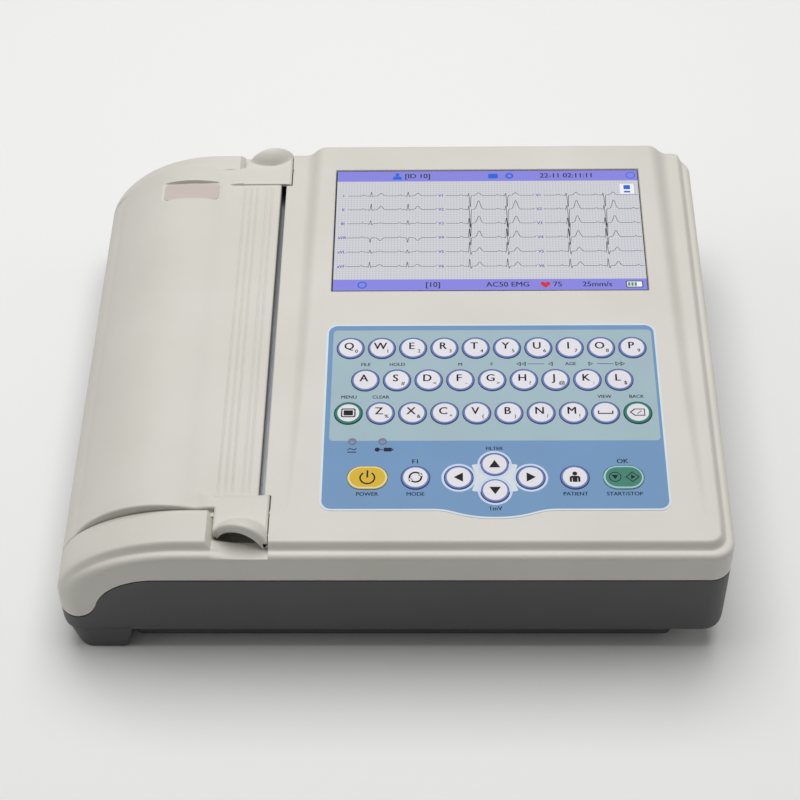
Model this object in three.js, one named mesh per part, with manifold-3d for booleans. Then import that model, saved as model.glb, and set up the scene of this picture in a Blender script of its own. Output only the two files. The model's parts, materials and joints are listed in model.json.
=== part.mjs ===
// Table-top ECG recorder with a curved paper lid, a raised console and a thermal printer.
// Millimetres, +Z up, +X to the right of the person using it, +Y towards the back.
// Origin: on the table, under the middle of the case.
import * as THREE from 'three';
import { mergeVertices } from 'three/addons/utils/BufferGeometryUtils.js';
import Module from 'manifold-3d';

const wasm = await Module();
wasm.setup();

// ---------------------------------------------------------------- driving dimensions
const HALF_WIDTH = 154;        // case half width, X
const HALF_DEPTH = 130;        // case half depth, Y
const DECK = 75;               // flat top of the case
const WALL = 2.6;              // moulded wall thickness
const GAP = 0.4;               // clearance between neighbouring pieces
const PARTING = 53.6;          // joint between the two housings
const PARTING_LEFT = 25;       // the same joint on the low left side
const BELLY = 13.5;            // underside of the case, above the plinth
const PLAN_RADIUS = 10;        // vertical corners of the case
const LEDGE_DROP = 3.8;        // the ledge round the front and right edge lies this far below the deck
const LEDGE_WIDTH = 5;
const SHOULDER = { x: -93, z: 33, a: 61 };          // quarter ellipse of the left side
const TILT = 0.0241;           // rise of the console towards the back, as an angle in radians
const CONSOLE = { x0: -45, x1: 140, yFlush: -111, y1: 129 };
const PANEL_ORIGIN = { x: 47.5, y: -11 };           // middle of the top key row
const SLIT_EDGE = -56.8;       // deck side of the paper slit; the lid's edge is the other side
const LID = { y0: -105.6, y1: 118.1, hump: 4.4, humpEnd: 1.02, thick: 2.6, edge: -59.4 };
const HINGE = { x: -147, z: 33.5, barrel: 7, rod: 2, bore: 2.3 };
const TAB = { x0: -79, x1: -54.2, top: 76.2, under: 72.4, slant: 6, dome: 8.2, half: 12.4, swell: 9 };
const TAB_ENDS = [{ root: -98.4, tip: -124.6, side: -1 }, { root: 106.2, tip: 129.4, side: 1 }];
const SCOOP = { floor: 60, lip: 69.8, inset: 4 };
const ROLL = { x: -108, z: 43, r: 24, y0: -98.8, y1: 111.2, spindle: 4 };
const PLATEN = { x: -67.5, z: 63, r: 7, shaft: 3 };
const PRESSURE_ANGLE = THREE.MathUtils.degToRad(20);
const GEAR = { module: 0.8, y0: 111.2, y1: 114.6, platen: 18, idler: 24, pinion: 12, slope: Math.PI / 6 };
const BATTERY_BAY = { x0: 28, x1: 122, y0: -50, y1: 30 };
const INLET = { x: 110, z: 34, w: 27, h: 20 };
const ROCKER = { x: 76, y: 122, z: 34, w: 16 };
const LEAD_SOCKET = { y: 60, z: 34, w: 38, h: 13 };
const KEY = { r: 6.5, clearance: 0.3, flange: 7.15, pitch: 15, row: 20 };
const OVERLAY = { half: 79.3, top: 15.4, side: -95.9, low: -100.4, corner: 5.5, under: -0.55, over: 0.25 };
const LCD = { x: 0, y: 78.9, w: 155.6, d: 86.4 };

// ---------------------------------------------------------------- helpers
const group = new THREE.Group();
group.name = 'ecg_machine';

function finish(color, roughness, metalness = 0) {
  return new THREE.MeshStandardMaterial({ color, roughness, metalness });
}

const LOOK = {
  shell: finish(0xd8d5cd, 0.55),
  base: finish(0x434345, 0.6),
  board: finish(0x1f6b45, 0.6),
  rubber: finish(0x2a2a2c, 0.9),
  steel: finish(0xb9bcc0, 0.3, 1),
  nylon: finish(0xe9e6da, 0.5),
  paper: finish(0xf6f4ee, 0.9),
  black: finish(0x1b1b1d, 0.5),
  overlay: finish(0x6f95bf, 0.4),
  key: finish(0xe6e4ea, 0.4),
  glass: finish(0x9fb4c0, 0.1),
};

function solidOf(geometry) {
  const bare = geometry.index ? geometry.toNonIndexed() : geometry.clone();
  bare.deleteAttribute('normal');
  bare.deleteAttribute('uv');
  const merged = mergeVertices(bare, 1e-4);
  return new wasm.Manifold(new wasm.Mesh({
    numProp: 3,
    vertProperties: new Float32Array(merged.attributes.position.array),
    triVerts: new Uint32Array(merged.index.array),
  }));
}

function geometryOf(solid) {
  const mesh = solid.getMesh();
  const geometry = new THREE.BufferGeometry();
  geometry.setAttribute('position', new THREE.BufferAttribute(new Float32Array(mesh.vertProperties), 3));
  geometry.setIndex(new THREE.BufferAttribute(new Uint32Array(mesh.triVerts), 1));
  geometry.computeVertexNormals();
  return geometry;
}

const join = (...solids) => solids.reduce((sum, part) => sum.add(part));
const cut = (body, ...tools) => tools.reduce((rest, tool) => rest.subtract(tool), body);

function box(x0, x1, y0, y1, z0, z1) {
  const geometry = new THREE.BoxGeometry(x1 - x0, y1 - y0, z1 - z0);
  geometry.translate((x0 + x1) / 2, (y0 + y1) / 2, (z0 + z1) / 2);
  return solidOf(geometry);
}

// A shape drawn in X and Z, as seen from the front, extruded from y0 back to y1.
function alongY(shape, y0, y1, curveSegments = 12) {
  const geometry = new THREE.ExtrudeGeometry(shape, { depth: y1 - y0, bevelEnabled: false, curveSegments });
  geometry.rotateX(Math.PI / 2);
  geometry.translate(0, y1, 0);
  return solidOf(geometry);
}

// A shape drawn in X and Y, as seen from above, extruded from z0 up to z1.
function alongZ(shape, z0, z1, curveSegments = 12) {
  const geometry = new THREE.ExtrudeGeometry(shape, { depth: z1 - z0, bevelEnabled: false, curveSegments });
  geometry.translate(0, 0, z0);
  return solidOf(geometry);
}

function rodAlongY(x, z, r, y0, y1, sides = 20) {
  const geometry = new THREE.CylinderGeometry(r, r, y1 - y0, sides);
  geometry.translate(x, (y0 + y1) / 2, z);
  return solidOf(geometry);
}

function polygon(points) {
  return new THREE.Shape(points.map(([a, b]) => new THREE.Vector2(a, b)));
}

function roundedRectangle(x0, x1, y0, y1, r) {
  const shape = new THREE.Shape();
  shape.moveTo(x0 + r, y0);
  shape.absarc(x1 - r, y0 + r, r, -Math.PI / 2, 0);
  shape.absarc(x1 - r, y1 - r, r, 0, Math.PI / 2);
  shape.absarc(x0 + r, y1 - r, r, Math.PI / 2, Math.PI);
  shape.absarc(x0 + r, y0 + r, r, Math.PI, 1.5 * Math.PI);
  return shape;
}

// Turns a solid built on the console plane (x across, y up the panel, z out of it) into the case's frame.
function onConsole(geometry) {
  geometry.rotateX(TILT);
  geometry.translate(PANEL_ORIGIN.x, PANEL_ORIGIN.y, consoleHeight(PANEL_ORIGIN.y));
  return geometry;
}

function consoleHeight(y) {
  return DECK + (y - CONSOLE.yFlush) * Math.tan(TILT);
}

function panelPrism(shape, z0, z1, curveSegments = 6) {
  const geometry = new THREE.ExtrudeGeometry(shape, { depth: z1 - z0, bevelEnabled: false, curveSegments });
  geometry.translate(0, 0, z0);
  return solidOf(onConsole(geometry));
}

function addPiece(name, geometry, material) {
  const mesh = new THREE.Mesh(geometry, material);
  mesh.name = name;
  group.add(mesh);
}

const addSolid = (name, solid, material) => addPiece(name, geometryOf(solid), material);

// ---------------------------------------------------------------- outlines seen from the front
// The case outline with its flat top and, on the left, a quarter ellipse down to the side wall.
function caseOutline(inset, top, right) {
  const shape = new THREE.Shape();
  shape.moveTo(right, -10);
  shape.lineTo(right, top);
  shape.lineTo(SHOULDER.x, top);
  shape.absellipse(SHOULDER.x, SHOULDER.z, SHOULDER.a - inset, top - SHOULDER.z, Math.PI / 2, Math.PI);
  shape.lineTo(SHOULDER.x - SHOULDER.a + inset, -10);
  return shape;
}

// Everything above the joint between the housings: level on the right, an S-curve to the low left side.
function aboveParting(shift) {
  const high = PARTING + shift;
  const low = PARTING_LEFT + shift;
  const shape = new THREE.Shape();
  shape.moveTo(200, high);
  shape.lineTo(200, 200);
  shape.lineTo(-200, 200);
  shape.lineTo(-200, low);
  shape.lineTo(-146, low);
  shape.bezierCurveTo(-140, low, -137, low + 4, -135, low + 11);
  shape.bezierCurveTo(-131, low + 21, -120, high, -106, high);
  return alongY(shape, -200, 200, 8);
}

// ---------------------------------------------------------------- housings
const PLAN = roundedRectangle(-HALF_WIDTH, HALF_WIDTH, -HALF_DEPTH, HALF_DEPTH, PLAN_RADIUS);
const DECK_RIGHT = HALF_WIDTH - LEDGE_WIDTH;
const DECK_FRONT = -HALF_DEPTH + LEDGE_WIDTH;
const LEDGE = DECK - LEDGE_DROP;

const insidePlan = (solid) => solid.intersect(alongZ(PLAN, -20, 120, 5));

// The console is a wedge with 45 degree sides; an inset makes the hollow under it.
function consoleWedge(inset) {
  const rise = consoleHeight(CONSOLE.y1) - DECK;
  const floor = DECK - 6;
  const back = CONSOLE.y1 - inset;
  const profile = polygon([
    [CONSOLE.yFlush + inset, floor], [back, floor],
    [back, DECK + rise - inset], [CONSOLE.yFlush + inset, DECK - inset],
  ]);
  const side = new THREE.ExtrudeGeometry(profile, { depth: 300, bevelEnabled: false });
  side.rotateX(Math.PI / 2);
  side.rotateZ(Math.PI / 2);
  side.translate(-100, 0, 0);
  const left = CONSOLE.x0 + inset;
  const right = CONSOLE.x1 - inset;
  const front = polygon([[left, floor], [right, floor], [right, DECK], [right - rise, DECK + rise],
    [left + rise, DECK + rise], [left, DECK]]);
  return solidOf(side).intersect(alongY(front, -HALF_DEPTH, back));
}

function caseBody() {
  const deck = alongY(caseOutline(0, DECK, DECK_RIGHT), DECK_FRONT, HALF_DEPTH)
    .intersect(alongZ(roundedRectangle(-HALF_WIDTH, DECK_RIGHT, DECK_FRONT, HALF_DEPTH, 7), -20, 120, 4));
  const ledge = alongY(caseOutline(LEDGE_WIDTH, LEDGE, HALF_WIDTH), -HALF_DEPTH, HALF_DEPTH);
  return insidePlan(join(deck, ledge, consoleWedge(0)));
}

function caseCavity() {
  const under = alongY(caseOutline(WALL, DECK - WALL, DECK_RIGHT - WALL),
    DECK_FRONT + WALL, HALF_DEPTH - WALL);
  const edge = alongY(caseOutline(LEDGE_WIDTH + WALL, LEDGE - WALL, HALF_WIDTH - WALL),
    -HALF_DEPTH + WALL, HALF_DEPTH - WALL);
  return join(under, edge, consoleWedge(WALL));
}

// The keyboard overlay's outline: round corners and a shallow dip in the middle of its lower edge.
function overlayShape(inset) {
  const half = OVERLAY.half - inset;
  const top = OVERLAY.top - inset;
  const side = OVERLAY.side + inset;
  const low = OVERLAY.low + inset;
  const r = OVERLAY.corner;
  const shape = new THREE.Shape();
  shape.moveTo(-half + r, side);
  shape.lineTo(-28, side);
  shape.bezierCurveTo(-18, side, -16, low, 0, low);
  shape.bezierCurveTo(16, low, 18, side, 28, side);
  shape.absarc(half - r, side + r, r, -Math.PI / 2, 0);
  shape.absarc(half - r, top - r, r, 0, Math.PI / 2);
  shape.absarc(-half + r, top - r, r, Math.PI / 2, Math.PI);
  shape.absarc(-half + r, side + r, r, Math.PI, 1.5 * Math.PI);
  return shape;
}

function lcdShape(grow) {
  const x = LCD.w / 2 + grow;
  const y = LCD.d / 2 + grow;
  return polygon([[LCD.x - x, LCD.y - y], [LCD.x + x, LCD.y - y],
    [LCD.x + x, LCD.y + y], [LCD.x - x, LCD.y + y]]);
}

// The slot in the deck that a lift tab lies in; its left side leans away to let the tab swing up.
function tabSlot({ root, side }) {
  const shape = polygon([[TAB.x0 - 0.5, SCOOP.lip], [TAB.x1 + GAP, SCOOP.lip], [TAB.x1 + GAP, 100],
    [TAB.x0 - 3, 100], [TAB.x0 - 3, DECK + 0.5], [TAB.x0 - 0.5, TAB.under - 1]]);
  const inner = side < 0 ? LID.y0 - GAP : LID.y1 + GAP;
  const outer = side * (HALF_DEPTH + 5);
  const behind = root - side * GAP;
  const overDeck = box(SLIT_EDGE - 1, TAB.x1 + GAP, Math.min(behind, inner), Math.max(behind, inner),
    TAB.under - GAP, 100);
  return join(alongY(shape, Math.min(inner, outer), Math.max(inner, outer)), overDeck);
}

function scoopShape(grow) {
  return roundedRectangle(TAB.x0 - 0.5 - grow, TAB.x1 + GAP + grow, SCOOP.floor - grow, 90, 5 + grow);
}

// The cup behind each lift tab, with room for a fingertip.
function scoopRange({ side }, grow) {
  const outer = side * (HALF_DEPTH - SCOOP.inset) + side * grow;
  const inner = side < 0 ? LID.y0 - GAP : LID.y1 + GAP;
  return [Math.min(outer, inner), Math.max(outer, inner)];
}

function slitWall(y0, y1) {
  return box(SLIT_EDGE, SLIT_EDGE + WALL, y0, y1, 66, DECK - 1);
}

function cheekWall(y0, y1) {
  return alongY(caseOutline(WALL / 2, DECK - WALL / 2, SLIT_EDGE + WALL), y0, y1);
}

function upperHousing() {
  const bay = box(-200, SLIT_EDGE, LID.y0 - GAP, LID.y1 + GAP, 0, 200);
  const frontEdge = LID.y0 - GAP;
  const backEdge = LID.y1 + GAP;
  const walls = join(cheekWall(frontEdge - WALL, frontEdge), cheekWall(backEdge, backEdge + WALL),
    slitWall(frontEdge - WALL, backEdge + WALL));
  const cups = TAB_ENDS.map((end) => alongY(scoopShape(WALL), ...scoopRange(end, WALL), 3));
  const frames = [panelPrism(overlayShape(1.5 - WALL), -3.2 - WALL, -1), panelPrism(lcdShape(WALL), -6, -1)];
  const body = caseBody();
  const shell = join(cut(body, caseCavity()), join(walls, ...cups, ...frames).intersect(body));
  const scoops = TAB_ENDS.map((end) => alongY(scoopShape(0), ...scoopRange(end, 0), 3));
  return cut(shell, bay, ...scoops, ...TAB_ENDS.map(tabSlot),
    panelPrism(overlayShape(-GAP), -0.85, 20), panelPrism(overlayShape(1.5), -3.2, 20),
    panelPrism(lcdShape(GAP), -20, 20),
    rodAlongY(HINGE.x, HINGE.z, HINGE.bore, -HALF_DEPTH + LEDGE_WIDTH, HALF_DEPTH - LEDGE_WIDTH, 16),
  ).intersect(aboveParting(GAP / 2));
}

function tubOutline() {
  const shape = new THREE.Shape();
  shape.moveTo(HALF_WIDTH - 7.5, BELLY);
  shape.absarc(HALF_WIDTH - 7.5, BELLY + 7.5, 7.5, -Math.PI / 2, 0);
  shape.lineTo(HALF_WIDTH, 100);
  shape.lineTo(-HALF_WIDTH, 100);
  shape.lineTo(-HALF_WIDTH, 18);
  shape.lineTo(-HALF_WIDTH + 4, BELLY);
  return shape;
}

function tubCavity() {
  const inner = polygon([[HALF_WIDTH - 9, BELLY + WALL], [HALF_WIDTH - WALL, BELLY + WALL + 6],
    [HALF_WIDTH - WALL, 120], [-HALF_WIDTH + WALL, 120], [-HALF_WIDTH + WALL, 20],
    [-HALF_WIDTH + 5, BELLY + WALL]]);
  return alongY(inner, -HALF_DEPTH + WALL, HALF_DEPTH - WALL)
    .intersect(alongZ(roundedRectangle(-HALF_WIDTH + WALL, HALF_WIDTH - WALL, -HALF_DEPTH + WALL,
      HALF_DEPTH - WALL, PLAN_RADIUS - WALL), 0, 130, 4));
}

const PLINTH = { x0: -121, x1: 131, y: 124.5, z: 1 };

function lowerHousing() {
  const tub = alongY(tubOutline(), -HALF_DEPTH, HALF_DEPTH, 5);
  const plinth = box(PLINTH.x0, PLINTH.x1, -PLINTH.y, PLINTH.y, PLINTH.z, BELLY + 1);
  const foot = polygon([[-152, BELLY + 4], [-148, 0], [-124, 0], [-121, BELLY + 1], [-121, BELLY + 4]]);
  const feet = [[-HALF_DEPTH, -105], [105, HALF_DEPTH]].map(([y0, y1]) => alongY(foot, y0, y1));
  const pads = [-110, 110].map((y) => box(108, 126, y - 9, y + 9, 0, PLINTH.z + 1));
  const solid = cut(insidePlan(join(tub, plinth, ...feet)), aboveParting(-GAP / 2));
  const leftBay = box(-200, -HALF_WIDTH + 12, LID.y0 - GAP, LID.y1 + GAP, PARTING_LEFT - GAP / 2, 60);
  return cut(join(solid, ...pads), tubCavity(), leftBay,
    box(PLINTH.x0 + WALL, PLINTH.x1 - WALL, -PLINTH.y + WALL, PLINTH.y - WALL, PLINTH.z + WALL, BELLY + 5),
    box(BATTERY_BAY.x0, BATTERY_BAY.x1, BATTERY_BAY.y0, BATTERY_BAY.y1, 0.5, 5),
    backCutout(INLET.x, INLET.z, INLET.w, INLET.h), backCutout(ROCKER.x, ROCKER.z, ROCKER.w + 4, 19),
    box(HALF_WIDTH - 4, HALF_WIDTH + 1, LEAD_SOCKET.y - LEAD_SOCKET.w / 2, LEAD_SOCKET.y + LEAD_SOCKET.w / 2,
      LEAD_SOCKET.z - LEAD_SOCKET.h / 2, LEAD_SOCKET.z + LEAD_SOCKET.h / 2));
}

function backCutout(x, z, w, h) {
  return box(x - w / 2, x + w / 2, HALF_DEPTH - 4, HALF_DEPTH + 1, z - h / 2, z + h / 2);
}

// ---------------------------------------------------------------- printer lid
// Points of the lid's arch from its top to the side wall; it stands proud of the case as a low hump.
function arch(inset) {
  const height = DECK - SHOULDER.z;
  const steps = 20;
  const points = [];
  for (let i = 0; i <= steps; i += 1) {
    const angle = (Math.PI / 2) * (i / steps);
    const along = Math.min(1, angle / LID.humpEnd) ** 0.75;
    const out = LID.hump * Math.sin(Math.PI * along) - inset;
    const x = SHOULDER.x - (SHOULDER.a + out) * Math.sin(angle);
    points.push([x, SHOULDER.z + (height + out) * Math.cos(angle)]);
  }
  return points;
}

function archBand(inset) {
  const edge = LID.edge - inset;
  return polygon([[LID.edge, DECK - 5.5], [LID.edge, DECK], ...arch(0), ...arch(inset).reverse(),
    [edge, DECK - inset], [edge, DECK - 5.5]]);
}

function bearingArm(y0) {
  return join(rodAlongY(PLATEN.x, PLATEN.z, 6.2, y0, y0 + 2, 16),
    box(PLATEN.x - 6, PLATEN.x + 6, y0, y0 + 2, PLATEN.z, DECK - 1));
}

function endRib(y0) {
  const rib = polygon([[LID.edge, DECK - 6], [LID.edge, DECK], ...arch(0), ...arch(8).reverse(),
    [-90, DECK - 6]]);
  return join(alongY(rib, y0, y0 + 2), bearingArm(y0));
}

// A lift tab: a flat tongue whose end swells into a dome with an open, slanted mouth for a fingertip.
function liftTab({ root, tip, side }) {
  const short = tip - side * TAB.slant;
  const corners = [[TAB.x0, root], [TAB.x1, root], [TAB.x1, tip], [TAB.x0, short]];
  const plan = polygon(side < 0 ? corners.reverse() : corners);
  const middle = (TAB.x0 + TAB.x1) / 2;
  const mouth = tip - side * TAB.slant / 2;
  const dome = (shrink) => {
    const ball = new THREE.SphereGeometry(1, 20, 12);
    ball.scale(TAB.half - shrink, TAB.swell - shrink, TAB.dome - shrink);
    ball.translate(middle, mouth, DECK);
    return solidOf(ball);
  };
  const skirts = join(box(TAB.x0, TAB.x0 + 2, -140, 140, SCOOP.lip + 1, TAB.top),
    box(TAB.x1 - 2, TAB.x1, -140, 140, SCOOP.lip + 1, TAB.top));
  const outward = side < 0 ? box(-100, 0, -140, LID.y0 - 3, 0, 100) : box(-100, 0, LID.y1 + 3, 140, 0, 100);
  const prism = alongZ(plan, 60, 100);
  const tongue = box(TAB.x0, TAB.x1, -140, 140, TAB.under, TAB.top);
  const below = box(-100, 0, -140, 140, 0, SCOOP.lip + 1);
  return cut(join(tongue, dome(0), skirts.intersect(outward)), dome(2), below).intersect(prism);
}

function printerLid() {
  const shell = alongY(archBand(LID.thick), LID.y0, LID.y1);
  const barrel = rodAlongY(HINGE.x, HINGE.z, HINGE.barrel, LID.y0, LID.y1, 28);
  const ribs = [endRib(LID.y0), endRib(LID.y1 - 2)];
  const bearings = rodAlongY(PLATEN.x, PLATEN.z, PLATEN.shaft + 0.3, LID.y0 - 1, LID.y1 + 1, 16)
    .intersect(box(-100, 0, -200, 200, 0, PLATEN.z + 6));
  return cut(join(shell, barrel, ...ribs, ...TAB_ENDS.map(liftTab)), bearings,
    rodAlongY(HINGE.x, HINGE.z, HINGE.bore, LID.y0 - 1, LID.y1 + 1, 16));
}

// ---------------------------------------------------------------- paper path
function paperTray() {
  const { x, z, spindle } = ROLL;
  const trough = polygon([[-146, 16.6], [-64, 16.6], [-64, 49], [-66, 49],
    [-66, 18.6], [-144, 18.6], [-144, 24], [-146, 24]]);
  const end = polygon([[-146, 16.6], [-64, 16.6], [-64, 49],
    [x + spindle + 0.4, 52], [x + spindle + 0.4, z - 3],
    [x + 2.4, z - spindle - 0.4], [x - 2.4, z - spindle - 0.4], [x - spindle - 0.4, z - 3],
    [x - spindle - 0.4, 52], [-126, 52], [-137, 44], [-137, 24], [-146, 24]]);
  return join(alongY(trough, -103, 115.5), alongY(end, -103, -101.2), alongY(end, 113.7, 115.5));
}

function paperRoll() {
  const { x, z, r, y0, y1, spindle } = ROLL;
  return cut(rodAlongY(x, z, r, y0, y1, 40), rodAlongY(x, z, spindle + 2.3, y0 - 1, y1 + 1, 24));
}

function paperSpindle() {
  const { x, z, y0, y1, spindle } = ROLL;
  return join(rodAlongY(x, z, spindle + 2, y0 + 1, y1 - 1, 24), rodAlongY(x, z, spindle, -103, 115.5, 24));
}

function platenRoller() {
  const { x, z, r, shaft } = PLATEN;
  return join(rodAlongY(x, z, r, -101, 108.8, 28), rodAlongY(x, z, shaft, -105.4, 117.9, 20));
}

// ---------------------------------------------------------------- paper drive
// Involute spur gear seen from the front, with the middle of one tooth at the given angle.
function gearShape(teeth, toothAngle) {
  const pitch = GEAR.module * teeth / 2;
  const base = pitch * Math.cos(PRESSURE_ANGLE);
  const tip = pitch + 0.9 * GEAR.module;
  const root = pitch - 1.2 * GEAR.module;
  const involute = (r) => Math.tan(Math.acos(Math.min(1, base / r))) - Math.acos(Math.min(1, base / r));
  const backlash = 0.09 / pitch;
  const half = Math.PI / (2 * teeth) + involute(pitch) - backlash;
  const radii = [Math.max(root, base), (pitch + base) / 2, tip];
  const points = [];
  for (let tooth = 0; tooth < teeth; tooth += 1) {
    const middle = toothAngle + (2 * Math.PI * tooth) / teeth;
    const flank = radii.map((r) => [r, half - involute(r)]);
    const foot = [root, half - involute(radii[0]) + 0.02];
    const leading = [foot, ...flank].map(([r, a]) => [r, middle - a]);
    const trailing = [foot, ...flank].reverse().map(([r, a]) => [r, middle + a]);
    points.push(...leading, ...trailing);
  }
  return polygon(points.map(([r, a]) => [r * Math.cos(a), r * Math.sin(a)]));
}

const pitchRadius = (teeth) => GEAR.module * teeth / 2;
const IDLER_AT = {
  x: PLATEN.x + (pitchRadius(GEAR.platen) + pitchRadius(GEAR.idler)) * Math.cos(GEAR.slope),
  z: PLATEN.z - (pitchRadius(GEAR.platen) + pitchRadius(GEAR.idler)) * Math.sin(GEAR.slope),
};
const PINION_AT = { x: IDLER_AT.x + pitchRadius(GEAR.idler) + pitchRadius(GEAR.pinion), z: IDLER_AT.z };

function gear(teeth, toothAngle, at, bore) {
  const geometry = alongY(gearShape(teeth, toothAngle), GEAR.y0, GEAR.y1).translate([at.x, 0, at.z]);
  return bore ? cut(geometry, rodAlongY(at.x, at.z, bore, GEAR.y0 - 1, GEAR.y1 + 1, 20)) : geometry;
}

// Tooth angles that put all three gears in mesh: a tooth of one faces a gap of the next.
const PLATEN_TOOTH = -GEAR.slope;
const IDLER_TOOTH = Math.PI - GEAR.slope + Math.PI / GEAR.idler;
const PINION_TOOTH = Math.PI + (GEAR.idler / GEAR.pinion) * -IDLER_TOOTH + Math.PI / GEAR.pinion;

function driveMotor() {
  const { x, z } = PINION_AT;
  const plate = box(-60, x + 15, 109.2, 110.8, 42, 66);
  const can = rodAlongY(x, z, 13, 84, 110, 28);
  const boss = rodAlongY(x, z, 10, 80, 85, 20);
  const idlerPin = rodAlongY(IDLER_AT.x, IDLER_AT.z, 2, 110, GEAR.y1, 16);
  return join(plate, can, boss, idlerPin);
}

function motorPinion() {
  return gear(GEAR.pinion, PINION_TOOTH, PINION_AT, 0);
}

function printHead() {
  const bar = box(-60.1, -57.5, -101, 108.8, 55, 65.4);
  const sink = box(-57.6, -52.4, -101, 108.8, 52, 65.4);
  const fins = [0, 1, 2].map((i) => box(-55.4, -50, -110, 120, 53.5 + 4 * i, 55.9 + 4 * i));
  return cut(join(bar, sink), ...fins);
}

// ---------------------------------------------------------------- keyboard
const LETTER_ROWS = [
  { keys: [...'qwertyuiop'], x: -67.5, y: 0 },
  { keys: [...'asdfghjkl'], x: -60, y: -KEY.row },
  { keys: ['menu', ...'zxcvbnm', 'space', 'backspace'], x: -67.5, y: -2 * KEY.row },
];
const FUNCTION_KEYS = [
  { name: 'power', x: -57.8, y: -77.6, long: 5.4 }, { name: 'mode', x: -35.9, y: -77.6 },
  { name: 'left', x: -16.2, y: -77.6 }, { name: 'up', x: 0.2, y: -70.2 },
  { name: 'down', x: 0.2, y: -85 }, { name: 'right', x: 16.5, y: -77.6 },
  { name: 'patient', x: 36.5, y: -77.6 }, { name: 'start_stop', x: 58.6, y: -77.6, long: 5.4 },
];

function allKeys() {
  const letters = LETTER_ROWS.flatMap(({ keys, x, y }) => (
    keys.map((name, i) => ({ name, x: x + KEY.pitch * i, y }))));
  return [...letters, ...FUNCTION_KEYS];
}

// Round, or long and round-ended.
function keyShape({ x, y, long = 0 }, radius) {
  const shape = new THREE.Shape();
  shape.absarc(x + long / 2, y, radius, -Math.PI / 2, Math.PI / 2);
  shape.absarc(x - long / 2, y, radius, Math.PI / 2, 1.5 * Math.PI);
  return shape;
}

function keyCap(key) {
  const cap = panelPrism(keyShape(key, KEY.r), -1.4, 0.75, 3);
  const flange = panelPrism(keyShape(key, KEY.flange), -1.6, -0.85, 3);
  return join(cap, flange);
}

function keypadOverlay() {
  const holes = allKeys().map((key) => panelPrism(keyShape(key, KEY.r + KEY.clearance), -3, 3, 3));
  return cut(panelPrism(overlayShape(0), OVERLAY.under, OVERLAY.over), ...holes);
}

// ---------------------------------------------------------------- display and electronics
const displayWindow = () => panelPrism(lcdShape(0), -2.1, -0.5);

function displayModule() {
  const tray = panelPrism(lcdShape(5), -12.5, -6.4);
  const face = panelPrism(lcdShape(-1.5), -6.5, -2.6);
  return join(tray, face);
}

function mainBoard() {
  const chips = [[-30, -40], [10, -30], [-10, 30], [40, 10]]
    .map(([x, y]) => box(x, x + 18, y, y + 18, 27.5, 31));
  const header = box(-44, 50, 54, 60, 27.5, 36);
  return join(box(-48, 60, -64, 64, 26, 27.6), header, ...chips);
}

function powerSupply() {
  const transformer = box(84, 112, 40, 68, 27.5, 48);
  const capacitors = [0, 1, 2].map((i) => {
    const can = new THREE.CylinderGeometry(5.5, 5.5, 20, 16);
    can.rotateX(Math.PI / 2);
    can.translate(76, 30 + 16 * i, 37);
    return solidOf(can);
  });
  return join(box(66, 140, 20, 96, 26, 27.6), transformer, box(118, 124, 26, 66, 27.5, 46), ...capacitors);
}

function batteryPack() {
  const { x0, x1, y0, y1 } = BATTERY_BAY;
  return box(x0 + 3, x1 - 3, y0 + 4, y1 - 4, 3.8, 22);
}

function batteryDoor() {
  const { x0, x1, y0, y1 } = BATTERY_BAY;
  return box(x0 + GAP, x1 - GAP, y0 + GAP, y1 - GAP, PLINTH.z, 3.2);
}

function mainsInlet() {
  const { x, z } = INLET;
  const body = box(x - 13, x + 13, 108, HALF_DEPTH, z - 9.5, z + 9.5);
  const well = box(x - 11.2, x + 11.2, 114, HALF_DEPTH + 1, z - 7.6, z + 7.6);
  const pins = [[-7, -1], [0, 2.5], [7, -1]].map(([dx, dz]) => (
    box(x + dx - 1, x + dx + 1, 112, 126, z + dz - 2, z + dz + 2)));
  const tabs = [-7, 0, 7].map((dx) => box(x + dx - 2.4, x + dx + 2.4, 101, 109, z - 0.4, z + 0.4));
  return join(cut(body, well), ...pins, ...tabs);
}

function mainsSwitch() {
  const { x, y, z, w } = ROCKER;
  const profile = polygon([[-1, -5], [4.6, -6.2], [7.4, -6.2], [5.2, 0], [5.8, 6.2], [4.6, 6.2], [-1, 5]]);
  const rocker = new THREE.ExtrudeGeometry(profile, { depth: w, bevelEnabled: false });
  rocker.rotateX(Math.PI / 2);
  rocker.rotateZ(Math.PI / 2);
  rocker.translate(x - w / 2, y, z);
  return solidOf(rocker);
}

function patientConnector() {
  const { y, z } = LEAD_SOCKET;
  const flange = box(149.8, 151, y - 21, y + 21, z - 8, z + 8);
  const shell = box(144, 153.6, y - 17, y + 17, z - 5, z + 5);
  const well = box(148, 155, y - 15.6, y + 15.6, z - 3.6, z + 3.6);
  const core = box(146, 152.4, y - 14, y + 14, z - 2, z + 2);
  return join(cut(join(flange, shell), well), core);
}

// ---------------------------------------------------------------- assembly
addSolid('upper_housing', upperHousing(), LOOK.shell);
addSolid('lower_housing', lowerHousing(), LOOK.base);
addSolid('printer_lid', printerLid(), LOOK.shell);
addSolid('lid_hinge_rod', rodAlongY(HINGE.x, HINGE.z, HINGE.rod, -124.5, 124.5, 16), LOOK.steel);
addSolid('paper_tray', paperTray(), LOOK.black);
addSolid('paper_roll', paperRoll(), LOOK.paper);
addSolid('paper_spindle', paperSpindle(), LOOK.nylon);
addSolid('platen_roller', platenRoller(), LOOK.rubber);
addSolid('platen_gear', gear(GEAR.platen, PLATEN_TOOTH, PLATEN, PLATEN.shaft + 0.3), LOOK.nylon);
addSolid('idler_gear', gear(GEAR.idler, IDLER_TOOTH, IDLER_AT, 2.3), LOOK.nylon);
addSolid('motor_pinion', motorPinion(), LOOK.nylon);
addSolid('drive_motor', driveMotor(), LOOK.steel);
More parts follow.
